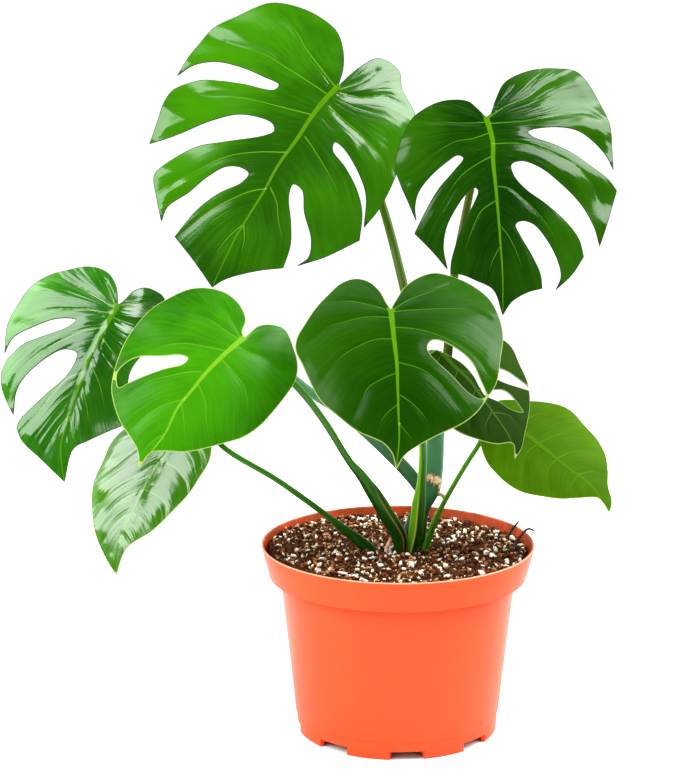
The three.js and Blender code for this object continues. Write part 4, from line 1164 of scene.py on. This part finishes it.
def build_blade(name, materials, step, thickness):
    """One blade: its gutter with the midrib in it, hollows over its side veins, bulges between them, keels
    under them all, and two skins joined by a rim."""
    leaf, look = LEAVES[name], BLADE_LOOKS[name]
    start, midrib, across, face, length = leaf_frame(leaf)
    places, triangles, outlines = blade_plan(leaf, length, step)
    u, v = places.T
    edge = edge_distance(places, outlines)
    mid_share, vein_share, mid_gap, vein_gap, between, flow = vein_flow(leaf, places, length, step)
    # The midrib's ridges grow lower and narrower towards the tip.
    fade = 1 - TIP_FADE * np.clip(u / length, 0, 1)
    rib = (ridge(mid_gap / fade, *RIB) - ridge(mid_gap / fade, *GUTTER)) * fade
    veins = ridge(vein_gap, *VEIN_HOLLOW) * smooth_step(edge, 0, 6)
    bulge = look["bulge"] * np.sin(math.pi * between)
    bulge = bulge * smooth_step(mid_gap, 1, 12) * smooth_step(edge, 0, 7)
    curl = CURL[0] * np.exp(-edge / CURL[1])
    height = blade_height(leaf, length, u, v) + rib - veins + bulge - curl
    middle = start + u[:, None] * midrib + v[:, None] * across + height[:, None] * face
    normals = sheet_normals(middle, triangles)
    if (normals @ face).mean() < 0:
        triangles = triangles[:, ::-1]
        normals = -normals
    count = len(places)
    keel = ridge(mid_gap, *KEEL) * fade + ridge(vein_gap, *VEIN_KEEL)
    top = middle + normals * thickness / 2
    bottom = middle - normals * (thickness / 2 + keel)[:, None]
    border = border_edges(triangles)
    rim_of = {a: i for i, a in enumerate(sorted({a for a, _ in border}))}
    out = np.zeros((len(rim_of), 3))
    for a, b in border:
        way = np.cross(middle[b] - middle[a], normals[a])
        way /= max(np.linalg.norm(way), 1e-9)
        out[rim_of[a]] += way
        out[rim_of[b]] += way
    out /= np.maximum(np.linalg.norm(out, axis=1), 1e-9)[:, None]
    rims = np.array(list(rim_of))
    rim = middle[rims] + out * thickness * RIM_REACH
    lowest, highest = np.array(CAD_BOX) / MM
    points = np.clip(np.vstack([top, bottom, rim]), lowest + BOX_GAP, highest - BOX_GAP)
    faces = triangles.tolist() + (triangles[:, ::-1] + count).tolist()
    slots = [0] * len(triangles) + [1] * len(triangles)
    for a, b in border:
        ra, rb = rim_of[a] + 2 * count, rim_of[b] + 2 * count
        faces += [[b, a, ra, rb], [rb, ra, a + count, b + count]]
        slots += [0, 0]
    piece = mesh_object("leaf_" + name, points, faces, materials, slots)
    # The upper skin keeps its own shading right up to the margin.
    crisp = {tuple(sorted(pair)) for pair in border}
    sharp = [tuple(sorted(side.vertices)) in crisp for side in piece.data.edges]
    piece.data.edges.foreach_set("use_edge_sharp", sharp)
    run = np.column_stack([flow, mid_gap, np.zeros(count)])
    for key, values in (("midrib", mid_share), ("vein", vein_share), ("edge", edge), ("flow", run)):
        give(piece, key, np.concatenate([values, values, values[rims]]))
    return piece


# Stalks, stem and roots


def tube_mesh(points, widths, sides=20, step=2.2, sheath=None):
    """Points, faces and skin values of a tapering tube along a curve. A sheath opens it on one side, with a
    groove between two thin wings."""
    path, counted = curve_through(points, step)
    path = np.vstack([path, points[-1]])
    done = np.append(counted, len(points) - 1) / (len(points) - 1)
    reach = np.interp(done * (len(widths) - 1), range(len(widths)), widths)
    tangents = np.gradient(path, axis=0)
    tangents /= np.linalg.norm(tangents, axis=1)[:, None]
    side = np.cross(tangents, (0, 1, 0))
    side[0] /= np.linalg.norm(side[0])
    for i in range(1, len(path)):
        side[i] = side[i - 1] - side[i - 1] @ tangents[i] * tangents[i]
        side[i] /= np.linalg.norm(side[i])
    depth = np.cross(side, tangents)
    length = np.concatenate([[0], np.cumsum(np.linalg.norm(np.diff(path, axis=0), axis=1))])
    turns = np.arange(sides) * 2 * math.pi / sides
    rows, wings, around, rise = [], [], [], []
    for i in range(len(path)):
        shape = np.ones(sides)
        wing = np.zeros(sides)
        if sheath:
            first, last = sheath["span"]
            open_share = smooth_step(done[i] - first, *SHEATH_OPENS)
            open_share = open_share * smooth_step(done[i], last, last - SHEATH_CLOSES)
            off = (turns - math.radians(sheath["turn"]) + math.pi) % (2 * math.pi) - math.pi
            cusp = ridge(np.abs(off) - WING_TURN, 1, WING_WIDTH)
            shape += open_share * (sheath["wing"] * cusp - ridge(off, GROOVE_DEPTH, GROOVE_WIDTH))
            wing = open_share * cusp
        ring = reach[i] * shape
        section = np.outer(np.cos(turns) * ring, side[i]) + np.outer(np.sin(turns) * ring, depth[i])
        rows.append(path[i] + section)
        wings.append(wing)
        across = np.column_stack([np.cos(turns), np.full(sides, 0), np.sin(turns)]) * reach[i]
        around.append(across + (0, length[i], 0))
        rise.append(np.full(sides, done[i]))
    made = np.vstack(rows + [path[:1], path[-1:]])
    faces = []
    for i in range(len(path) - 1):
        for k in range(sides):
            a, b = i * sides + k, i * sides + (k + 1) % sides
            faces.append([a, b, b + sides, a + sides])
    bottom, top = len(path) * sides, len(path) * sides + 1
    last = (len(path) - 1) * sides
    for k in range(sides):
        faces.append([bottom, (k + 1) % sides, k])
        faces.append([top, last + k, last + (k + 1) % sides])
    skins = {
        "wing": np.concatenate([*wings, [0, 0]]),
        "rise": np.concatenate([*rise, [0, 1]]),
        "around": np.vstack([*around, [[0, 0, 0], [0, length[-1], 0]]]),
    }
    return made, faces, skins


def outward(points, faces):
    """The faces turned so that a closed surface has a positive volume."""
    points = np.array(points)
    volume = 0.0
    for face in faces:
        for k in range(1, len(face) - 1):
            volume += np.dot(points[face[0]], np.cross(points[face[k]], points[face[k + 1]]))
    return faces if volume > 0 else [face[::-1] for face in faces]


def build_tube(name, plan, material, **shape):
    """A piece from a plan of points and half-widths, with its skin values stored on it."""
    made, faces, skins = tube_mesh(plan["points"], plan["widths"], **shape)
    piece = mesh_object(name, made, outward(made, faces), [material])
    for key, values in skins.items():
        give(piece, key, values)
    return piece


def stalk_plan(leaf):
    """A stalk's half-widths and points: its own, then up from behind into the foot of its blade."""
    start, midrib, _, face, length = leaf_frame(leaf)
    behind = start + STALK_BEND[0] * midrib + STALK_BEND[1] * face
    height = float(blade_height(leaf, length, np.array(STALK_END[0]), np.array(0.0)))
    seat = start + STALK_END[0] * midrib + (height + STALK_END[1]) * face
    points = [*leaf["stalk"]["points"], tuple(behind), tuple(seat)]
    return {"points": points, "widths": leaf["stalk"]["widths"]}


def build_dried_sheath(material):
    """A papery scrap that wraps part of the crown stem, wavy and torn along its lower edge."""
    low, high = (np.array(DRIED_SHEATH[end], float) for end in ("bottom", "top"))
    columns, rows = DRIED_SHEATH["cells"]
    grid = []
    for layer in (1, -1):
        for j in range(rows + 1):
            for i in range(columns + 1):
                across, rise = i / columns, j / rows
                # The torn lower edge and the upper edge, which falls to the right, are shares of the
                # height. A narrow strip hangs down near the right end.
                strip = ridge(across - 0.85, 1, 0.1)
                torn = (0.56 + 0.11 * math.sin(across * 9) + 0.07 * math.sin(i * 0.9)) * (1 - strip)
                top = 0.98 - 0.3 * across**2 - 0.04 * math.sin(i * 0.33 + 1)
                middle = low + (high - low) * (rise * top + (1 - rise) * torn)
                reach = DRIED_SHEATH["radius"] + layer * DRIED_SHEATH["thickness"] / 2
                reach += (1 - rise) * 0.8 + 0.18 * math.sin(i * 0.9 + j * 0.4)
                turn = math.radians(np.interp(across, (0, 1), DRIED_SHEATH["arc"]))
                grid.append(middle + np.array([math.cos(turn), math.sin(turn), 0]) * reach)

    def at(i, j, back):
        return (back * (rows + 1) + j) * (columns + 1) + i

    faces = []
    for j in range(rows):
        for i in range(columns):
            front = [at(i, j, 0), at(i + 1, j, 0), at(i + 1, j + 1, 0), at(i, j + 1, 0)]
            faces += [front, [point + at(0, 0, 1) for point in (front[0], *front[:0:-1])]]
    for i in range(columns):
        faces.append([at(i, 0, 0), at(i, 0, 1), at(i + 1, 0, 1), at(i + 1, 0, 0)])
        faces.append([at(i, rows, 0), at(i + 1, rows, 0), at(i + 1, rows, 1), at(i, rows, 1)])
    for j in range(rows):
        faces.append([at(0, j, 0), at(0, j + 1, 0), at(0, j + 1, 1), at(0, j, 1)])
        faces.append(
            [at(columns, j, 0), at(columns, j, 1), at(columns, j + 1, 1), at(columns, j + 1, 0)]
        )
    return mesh_object("papery_sheath", grid, outward(grid, faces), [material])


# Pot


def pot_profile():
    """The wall's section from the foot ring's inner edge, up the outside, over the lip and down inside."""
    band_foot = POT_HEIGHT - BAND_HEIGHT
    lip = [
        (RIM_RADIUS + LIP_RADIUS * (math.cos(a) - 1), POT_HEIGHT + LIP_RADIUS * (math.sin(a) - 1))
        for a in np.linspace(0, math.pi, 7)
    ]
    return [
        (FOOT_RADIUS - 2.4, FLOOR_UNDERSIDE),
        (FOOT_RADIUS - 1.9, 0.3),
        (FOOT_RADIUS - 1.6, 0),
        (FOOT_RADIUS - 0.4, 0),
        (FOOT_RADIUS, 0.4),
        (BODY_FOOT_RADIUS - 0.75, FOOT_HEIGHT - 0.35),
        (BODY_FOOT_RADIUS - 0.7, FOOT_HEIGHT),
        (BODY_FOOT_RADIUS - 0.25, FOOT_HEIGHT + 0.3),
        (BODY_FOOT_RADIUS, FOOT_HEIGHT + 0.9),
        (BODY_TOP_RADIUS - 0.1, band_foot - 1.2),
        (BODY_TOP_RADIUS + 0.1, band_foot + 0.6),
        (BODY_TOP_RADIUS + 0.9, band_foot + 0.8),
        (BAND_FOOT_RADIUS - 1.2, band_foot + 0.7),
        (BAND_FOOT_RADIUS - 0.5, band_foot),
        (BAND_FOOT_RADIUS, band_foot + 0.1),
        (BAND_FOOT_RADIUS + 0.1, band_foot + 0.6),
        *lip,
        (BAND_FOOT_RADIUS - WALL, band_foot + 1.9),
        (BODY_TOP_RADIUS - WALL, band_foot + 1.5),
        (FOOT_RADIUS - WALL + 0.4, FLOOR_TOP),
    ]


def build_pot(sides, material):
    """The pot turned from its section in edit mode, with the drainage notches cut out of its foot."""
    fresh()
    profile = pot_profile()
    radius, height = profile[0]
    bpy.ops.mesh.primitive_circle_add(
        vertices=sides, radius=radius * MM, fill_type="NGON", location=(0, 0, height * MM)
    )
    pot = bpy.context.object
    pot.name = "nursery_pot"
    bpy.ops.object.transform_apply(location=True, rotation=True, scale=True)
    bpy.ops.object.mode_set(mode="EDIT")
    bpy.ops.mesh.select_mode(type="EDGE")
    bpy.ops.mesh.select_all(action="SELECT")
    for (r0, z0), (r1, z1) in zip(profile, profile[1:]):
        bpy.ops.mesh.extrude_edges_move(TRANSFORM_OT_translate={"value": (0, 0, (z1 - z0) * MM)})
        bpy.ops.transform.resize(value=(r1 / r0, r1 / r0, 1), center_override=(0, 0, z1 * MM))
    bpy.ops.mesh.edge_face_add()
    bpy.ops.mesh.select_all(action="SELECT")
    bpy.ops.mesh.normals_make_consistent(inside=False)
    bpy.ops.object.mode_set(mode="OBJECT")
    cut_notches(pot)
    fresh()
    pot.select_set(True)
    bpy.context.view_layer.objects.active = pot
    bpy.ops.object.shade_smooth_by_angle(angle=math.radians(SMOOTH_ANGLE))
    pot.data.materials.clear()
    pot.data.materials.append(material)
    return pot


def cut_notches(pot):
    """Takes the notches out of the foot with one wedge-shaped block for each."""
    for i in range(NOTCH_COUNT):
        turn = math.radians(-90 + NOTCH_TURN + i * 360 / NOTCH_COUNT)
        fresh()
        middle = (NOTCH["inner"] + NOTCH["outer"]) / 2
        deep = NOTCH["outer"] - NOTCH["inner"]
        place = (middle * MM, 0, (NOTCH["height"] - NOTCH["below"]) / 2 * MM)
        bpy.ops.mesh.primitive_cube_add(size=1, location=place)
        block = bpy.context.object
        block.scale = (deep * MM, NOTCH["outer_width"] * MM, (NOTCH["height"] + NOTCH["below"]) * MM)
        bpy.ops.object.transform_apply(location=True, rotation=False, scale=True)
        for point in block.data.vertices:
            if point.co.x < middle * MM:
                point.co.y *= NOTCH["inner_width"] / NOTCH["outer_width"]
        block.rotation_euler = (0, 0, turn)
        bpy.ops.object.transform_apply(location=False, rotation=True, scale=False)
        cutter = pot.modifiers.new("notch", "BOOLEAN")
        cutter.operation = "DIFFERENCE"
        cutter.object = block
        fresh()
        bpy.context.view_layer.objects.active = pot
        bpy.ops.object.modifier_apply(modifier=cutter.name)
        bpy.data.objects.remove(block)


# Soil


def soil_height(x, y):
    """The height of the soil at a place, in mm: its slope, and three low waves about 15 mm long."""
    across = math.sin(x * 0.41 + y * 0.13)
    slanting = math.sin(y * 0.37 - x * 0.19 + 1.3) + math.sin((x + y) * 0.27 + 4)
    return SOIL_LEVEL + SOIL_FALL[0] * x + SOIL_FALL[1] * y + 0.25 * (across + slanting)


def build_soil(material):
    """The packed soil: a grid cut round, roughened, and drawn down to the pot's floor."""
    fresh()
    cells = {"x_subdivisions": SOIL_CELLS, "y_subdivisions": SOIL_CELLS}
    bpy.ops.mesh.primitive_grid_add(**cells, size=2 * SOIL_RADIUS * MM)
    soil = bpy.context.object
    soil.name = "potting_soil"
    mesh = bmesh.new()
    mesh.from_mesh(soil.data)
    outer = [p for p in mesh.verts if p.co.xy.length > SOIL_RADIUS * MM]
    bmesh.ops.delete(mesh, geom=outer, context="VERTS")
    for point in mesh.verts:
        x, y = point.co.x / MM, point.co.y / MM
        crumbs = noise.fractal(Vector((x, y, 3.0)) * CRUMB_SCALE, 0.6, 2.1, 4)
        point.co.z = (soil_height(x, y) - SOIL_SUNK + CRUMB_HEIGHT * crumbs) * MM
    mesh.to_mesh(soil.data)
    mesh.free()
    bpy.ops.object.mode_set(mode="EDIT")
    bpy.ops.mesh.select_all(action="DESELECT")
    bpy.ops.mesh.select_mode(type="EDGE")
    bpy.ops.mesh.select_non_manifold()
    radius = SOIL_RADIUS
    for low, reach in SOIL_SKIRT:
        bpy.ops.mesh.extrude_edges_move(TRANSFORM_OT_translate={"value": (0, 0, -MM)})
        scale = (reach / radius, reach / radius, 0)
        bpy.ops.transform.resize(value=scale, center_override=(0, 0, low * MM))
        radius = reach
    bpy.ops.mesh.edge_face_add()
    bpy.ops.mesh.select_all(action="SELECT")
    bpy.ops.mesh.normals_make_consistent(inside=False)
    bpy.ops.object.mode_set(mode="OBJECT")
    bpy.ops.object.shade_smooth()
    soil.data.materials.clear()
    soil.data.materials.append(material)
    return soil


def lump():
    """The points and faces of a small round lump of radius 1."""
    mesh = bmesh.new()
    bmesh.ops.create_icosphere(mesh, subdivisions=1, radius=1.0)
    points = np.array([p.co[:] for p in mesh.verts])
    faces = np.array([[p.index for p in face.verts] for face in mesh.faces])
    mesh.free()
    return points, faces


def scattered(name, material, count, draw):
    """Grains strewn over the soil as one mesh: each its own size, turn and rough form."""
    kind = GRAINS[name]
    smallest, largest = kind["sizes"]
    base, faces = lump()
    stalks = [leaf["stalk"]["points"] for leaf in LEAVES.values()]
    stems = [points[1] for points in stalks if points[0][2] < SOIL_LEVEL]
    stems += [STEM["points"][1], SHOOT["points"][1], AERIAL_ROOT["points"][-1], ROOT_PEG["points"][-1]]
    all_points, all_faces, tones = [], [], []
    while len(tones) < count:
        turn = draw.uniform(0, 2 * math.pi)
        reach = STREWN_RADIUS * math.sqrt(draw.uniform())
        x, y = reach * math.cos(turn), reach * math.sin(turn)
        size = smallest + (largest - smallest) * draw.uniform() ** SMALL_MORE_OFTEN
        form = np.array(kind["form"]) * draw.uniform(*UNEVEN, 3) * size
        spin = np.array(Matrix.Rotation(draw.uniform(0, 6.3), 3, Vector(draw.normal(size=3)).normalized()))
        if size > LARGE_GRAIN and any(math.hypot(s[0] - x, s[1] - y) < STEM_ROOM + size for s in stems):
            continue
        grain = base * (1 + kind["rough"] * draw.normal(size=(len(base), 1))) * form @ spin.T
        grain += (x, y, soil_height(x, y) + kind["rise"] * size)
        # A grain that would reach through the pot's wall moves in.
        over = max(0.0, float(np.hypot(grain[:, 0], grain[:, 1]).max()) - GRAIN_LIMIT)
        grain[:, :2] *= 1 - over / max(reach, 1.0)
        all_faces.append(faces + len(tones) * len(base))
        all_points.append(grain)
        tones.append(np.full(len(base), draw.uniform()))
    piece = mesh_object(name, np.vstack(all_points), np.vstack(all_faces).tolist(), [material])
    give(piece, "tone", np.concatenate(tones))
    return piece


# Settings


class PotSettings(bpy.types.PropertyGroup):
    """The nursery pot."""

    sides: IntProperty(name="Sides", description="Flats round the pot's wall", default=192, min=48, max=512)
    colour: FloatVectorProperty(
        name="Colour", description="Colour of the moulded plastic", subtype="COLOR", size=4, min=0, max=1,
        default=linear("#f0522b"),
    )


class SoilSettings(bpy.types.PropertyGroup):
    """The potting mix."""

    crumbs: IntProperty(
        name="Crumbs", description="Number of loose soil crumbs", default=4800, min=1, max=9000,
    )
    grains: IntProperty(
        name="Perlite", description="Number of perlite grains", default=860, min=1, max=1500,
    )
    seed: IntProperty(name="Seed", description="Draws another scatter of grains", default=7505, min=0)


class BladeSettings(bpy.types.PropertyGroup):
    """The leaf blades."""

    step: FloatProperty(
        name="Mesh size", description="Length of the edges in a blade's mesh", default=0.0013, min=0.0008,
        max=0.005, precision=4, unit="LENGTH",
    )
    thickness: FloatProperty(
        name="Thickness", description="Thickness of a blade between its veins", default=0.00055, min=0.0002,
        max=0.0015, precision=5, unit="LENGTH",
    )
    midrib: FloatVectorProperty(
        name="Midrib", description="Colour of the midribs", subtype="COLOR", size=4, min=0, max=1,
        default=linear("#4f7c08"),
    )


class LightSettings(bpy.types.PropertyGroup):
    """The studio."""

    room: FloatProperty(
        name="Room", description="Brightness of the room before the plant", default=0.75, min=0,
    )
    softbox: FloatProperty(name="Softboxes", description="Brightness of the softboxes", default=1.0, min=0)


# Operators


class BuildPot(bpy.types.Operator):
    """Turn the pot from its section and cut its drainage notches"""

    bl_idname = "plant.build_pot"
    bl_label = "Pot"

    def execute(self, context):
        settings = context.scene.plant_pot
        pot = build_pot(settings.sides, pot_plastic(tuple(settings.colour)))
        dress(pot, "pot_plastic", "pot")
        return {"FINISHED"}


class BuildSoil(bpy.types.Operator):
    """Fill the pot with potting mix, loose crumbs, bark, perlite and twigs"""

    bl_idname = "plant.build_soil"
    bl_label = "Soil"

    def execute(self, context):
        settings = context.scene.plant_soil
        draw = np.random.default_rng(settings.seed)
        crumb = soil_crumb("moist_peat", ("#573218", "#8c5630", "#c48654", "#f0d8b2"), 1.0)
        bark = soil_crumb("composted_bark", ("#5a3018", "#844626", "#a8623c", "#d0a880"), 2.4)
        pieces = [
            build_soil(crumb),
            scattered("peat_crumbs", crumb, settings.crumbs, draw),
            scattered("bark_chips", bark, BARK_COUNT, draw),
            scattered("perlite_grains", perlite(), settings.grains, draw),
        ]
        twig = root_skin("dry_root_skin", "#5c4434", "#24160e")
        pieces += [build_tube(f"twig_{i + 1}", plan, twig, sides=12) for i, plan in enumerate(TWIGS)]
        for piece in pieces:
            dress(piece, "potting_mix", "soil")
        return {"FINISHED"}


class BuildCrown(bpy.types.Operator):
    """Grow the crown stem with its new shoot, aerial root, root peg and dried sheath"""

    bl_idname = "plant.build_crown"
    bl_label = "Crown"

    def execute(self, context):
        green = stalk_skin("crown_stem", "#437c52", "#1d4a1c")
        young = stalk_skin("new_shoot", "#4c8468", "#235440", "#8cb89c")
        pink = root_skin("fresh_root_skin", "#e8bca4", "#b88470")
        for name, node, slot, plan, skin, sides, step in (
            ("crown_stem_skin", "crown_stem", "stem_skin", STEM, green, 28, 1.5),
            ("new_shoot", "shoot_tip", "stem_skin", SHOOT, young, 20, 1.5),
            ("curled_aerial_root", "aerial_root", "root_skin", AERIAL_ROOT, pink, 16, 0.8),
            ("stub_of_root", "root_peg", "root_skin", ROOT_PEG, pink, 16, 0.8),
        ):
            dress(build_tube(name, plan, skin, sides=sides, step=step), slot, node)
        papery = root_skin("dried_papery_sheath", "#efdab6", "#a8764c")
        dress(build_dried_sheath(papery), "dried_sheath", "dried_sheath")
        return {"FINISHED"}


class BuildStalks(bpy.types.Operator):
    """Grow the leaf stalks, sheathed near the crown"""

    bl_idname = "plant.build_stalks"
    bl_label = "Stalks"

    def execute(self, context):
        for name, leaf in LEAVES.items():
            skin = stalk_skin(name, *STALK_LOOKS[name])
            stalk = build_tube("stalk_of_" + name, stalk_plan(leaf), skin, sheath=SHEATHS.get(name))
            dress(stalk, "stem_skin", "stalk_" + name)
        return {"FINISHED"}


class BuildBlades(bpy.types.Operator):
    """Grow the leaf blades with their slits, holes, midribs and side veins"""

    bl_idname = "plant.build_blades"
    bl_label = "Blades"

    def execute(self, context):
        settings = context.scene.plant_blades
        step, thickness = settings.step / MM, settings.thickness / MM
        back = underside_skin()
        for name, look in BLADE_LOOKS.items():
            midrib = linear(look["midrib"]) if "midrib" in look else tuple(settings.midrib)
            skins = [blade_skin(name, look, midrib), back]
            blade = build_blade(name, skins, step, thickness)
            dress(blade, "young_blade" if name == "low_right" else "leaf_blade", "blade_" + name)
        return {"FINISHED"}


class BuildStage(bpy.types.Operator):
    """Set the floor, the lights and the camera"""

    bl_idname = "plant.build_stage"
    bl_label = "Stage"

    def execute(self, context):
        scene = context.scene
        settings = scene.plant_light
        fresh()
        bpy.ops.mesh.primitive_circle_add(vertices=96, radius=FLOOR_RADIUS, fill_type="NGON")
        floor = bpy.context.object
        floor.name = "studio_floor"
        floor.data.materials.append(white_paper())
        light_world(scene, settings.room)
        for name, way, distance, size, brightness in SOFTBOXES:
            hang_softbox(name, way, distance, size, brightness * settings.softbox)
        turn = (math.radians(90 - CAMERA_PITCH), 0, 0)
        bpy.ops.object.camera_add(location=CAMERA_PLACE, rotation=turn)
        camera = bpy.context.object
        camera.name = "studio_camera"
        camera.data.lens = CAMERA_LENS
        camera.data.sensor_width = CAMERA_SENSOR
        camera.data.clip_end = CAMERA_REACH
        scene.camera = camera
        scene.view_settings.view_transform = "Standard"
        scene.view_settings.look = "Medium High Contrast"
        return {"FINISHED"}


class PlantPanel(bpy.types.Panel):
    """Lists the plant's settings and steps"""

    bl_idname = "VIEW3D_PT_plant"
    bl_label = "Swiss cheese plant"
    bl_space_type = "VIEW_3D"
    bl_region_type = "UI"
    bl_category = "Plant"

    def draw(self, context):
        for key in SETTINGS:
            group = getattr(context.scene, key)
            box = self.layout.box()
            for prop in group.bl_rna.properties:
                if prop.identifier not in ("rna_type", "name"):
                    box.prop(group, prop.identifier)
        for step in STEPS:
            self.layout.operator(step.bl_idname)


SETTINGS = {
    "plant_pot": PotSettings,
    "plant_soil": SoilSettings,
    "plant_blades": BladeSettings,
    "plant_light": LightSettings,
}
STEPS = (BuildPot, BuildSoil, BuildCrown, BuildStalks, BuildBlades, BuildStage)


def register():
    for key, group in SETTINGS.items():
        bpy.utils.register_class(group)
        setattr(bpy.types.Scene, key, PointerProperty(type=group))
    for kind in (*STEPS, PlantPanel):
        bpy.utils.register_class(kind)


def unregister():
    for kind in (PlantPanel, *reversed(STEPS)):
        bpy.utils.unregister_class(kind)
    for key, group in reversed(SETTINGS.items()):
        delattr(bpy.types.Scene, key)
        bpy.utils.unregister_class(group)


def main():
    register()
    bpy.ops.plant.build_pot()
    bpy.ops.plant.build_soil()
    bpy.ops.plant.build_crown()
    bpy.ops.plant.build_stalks()
    bpy.ops.plant.build_blades()
    bpy.ops.plant.build_stage()


if __name__ == "__main__":
    main()
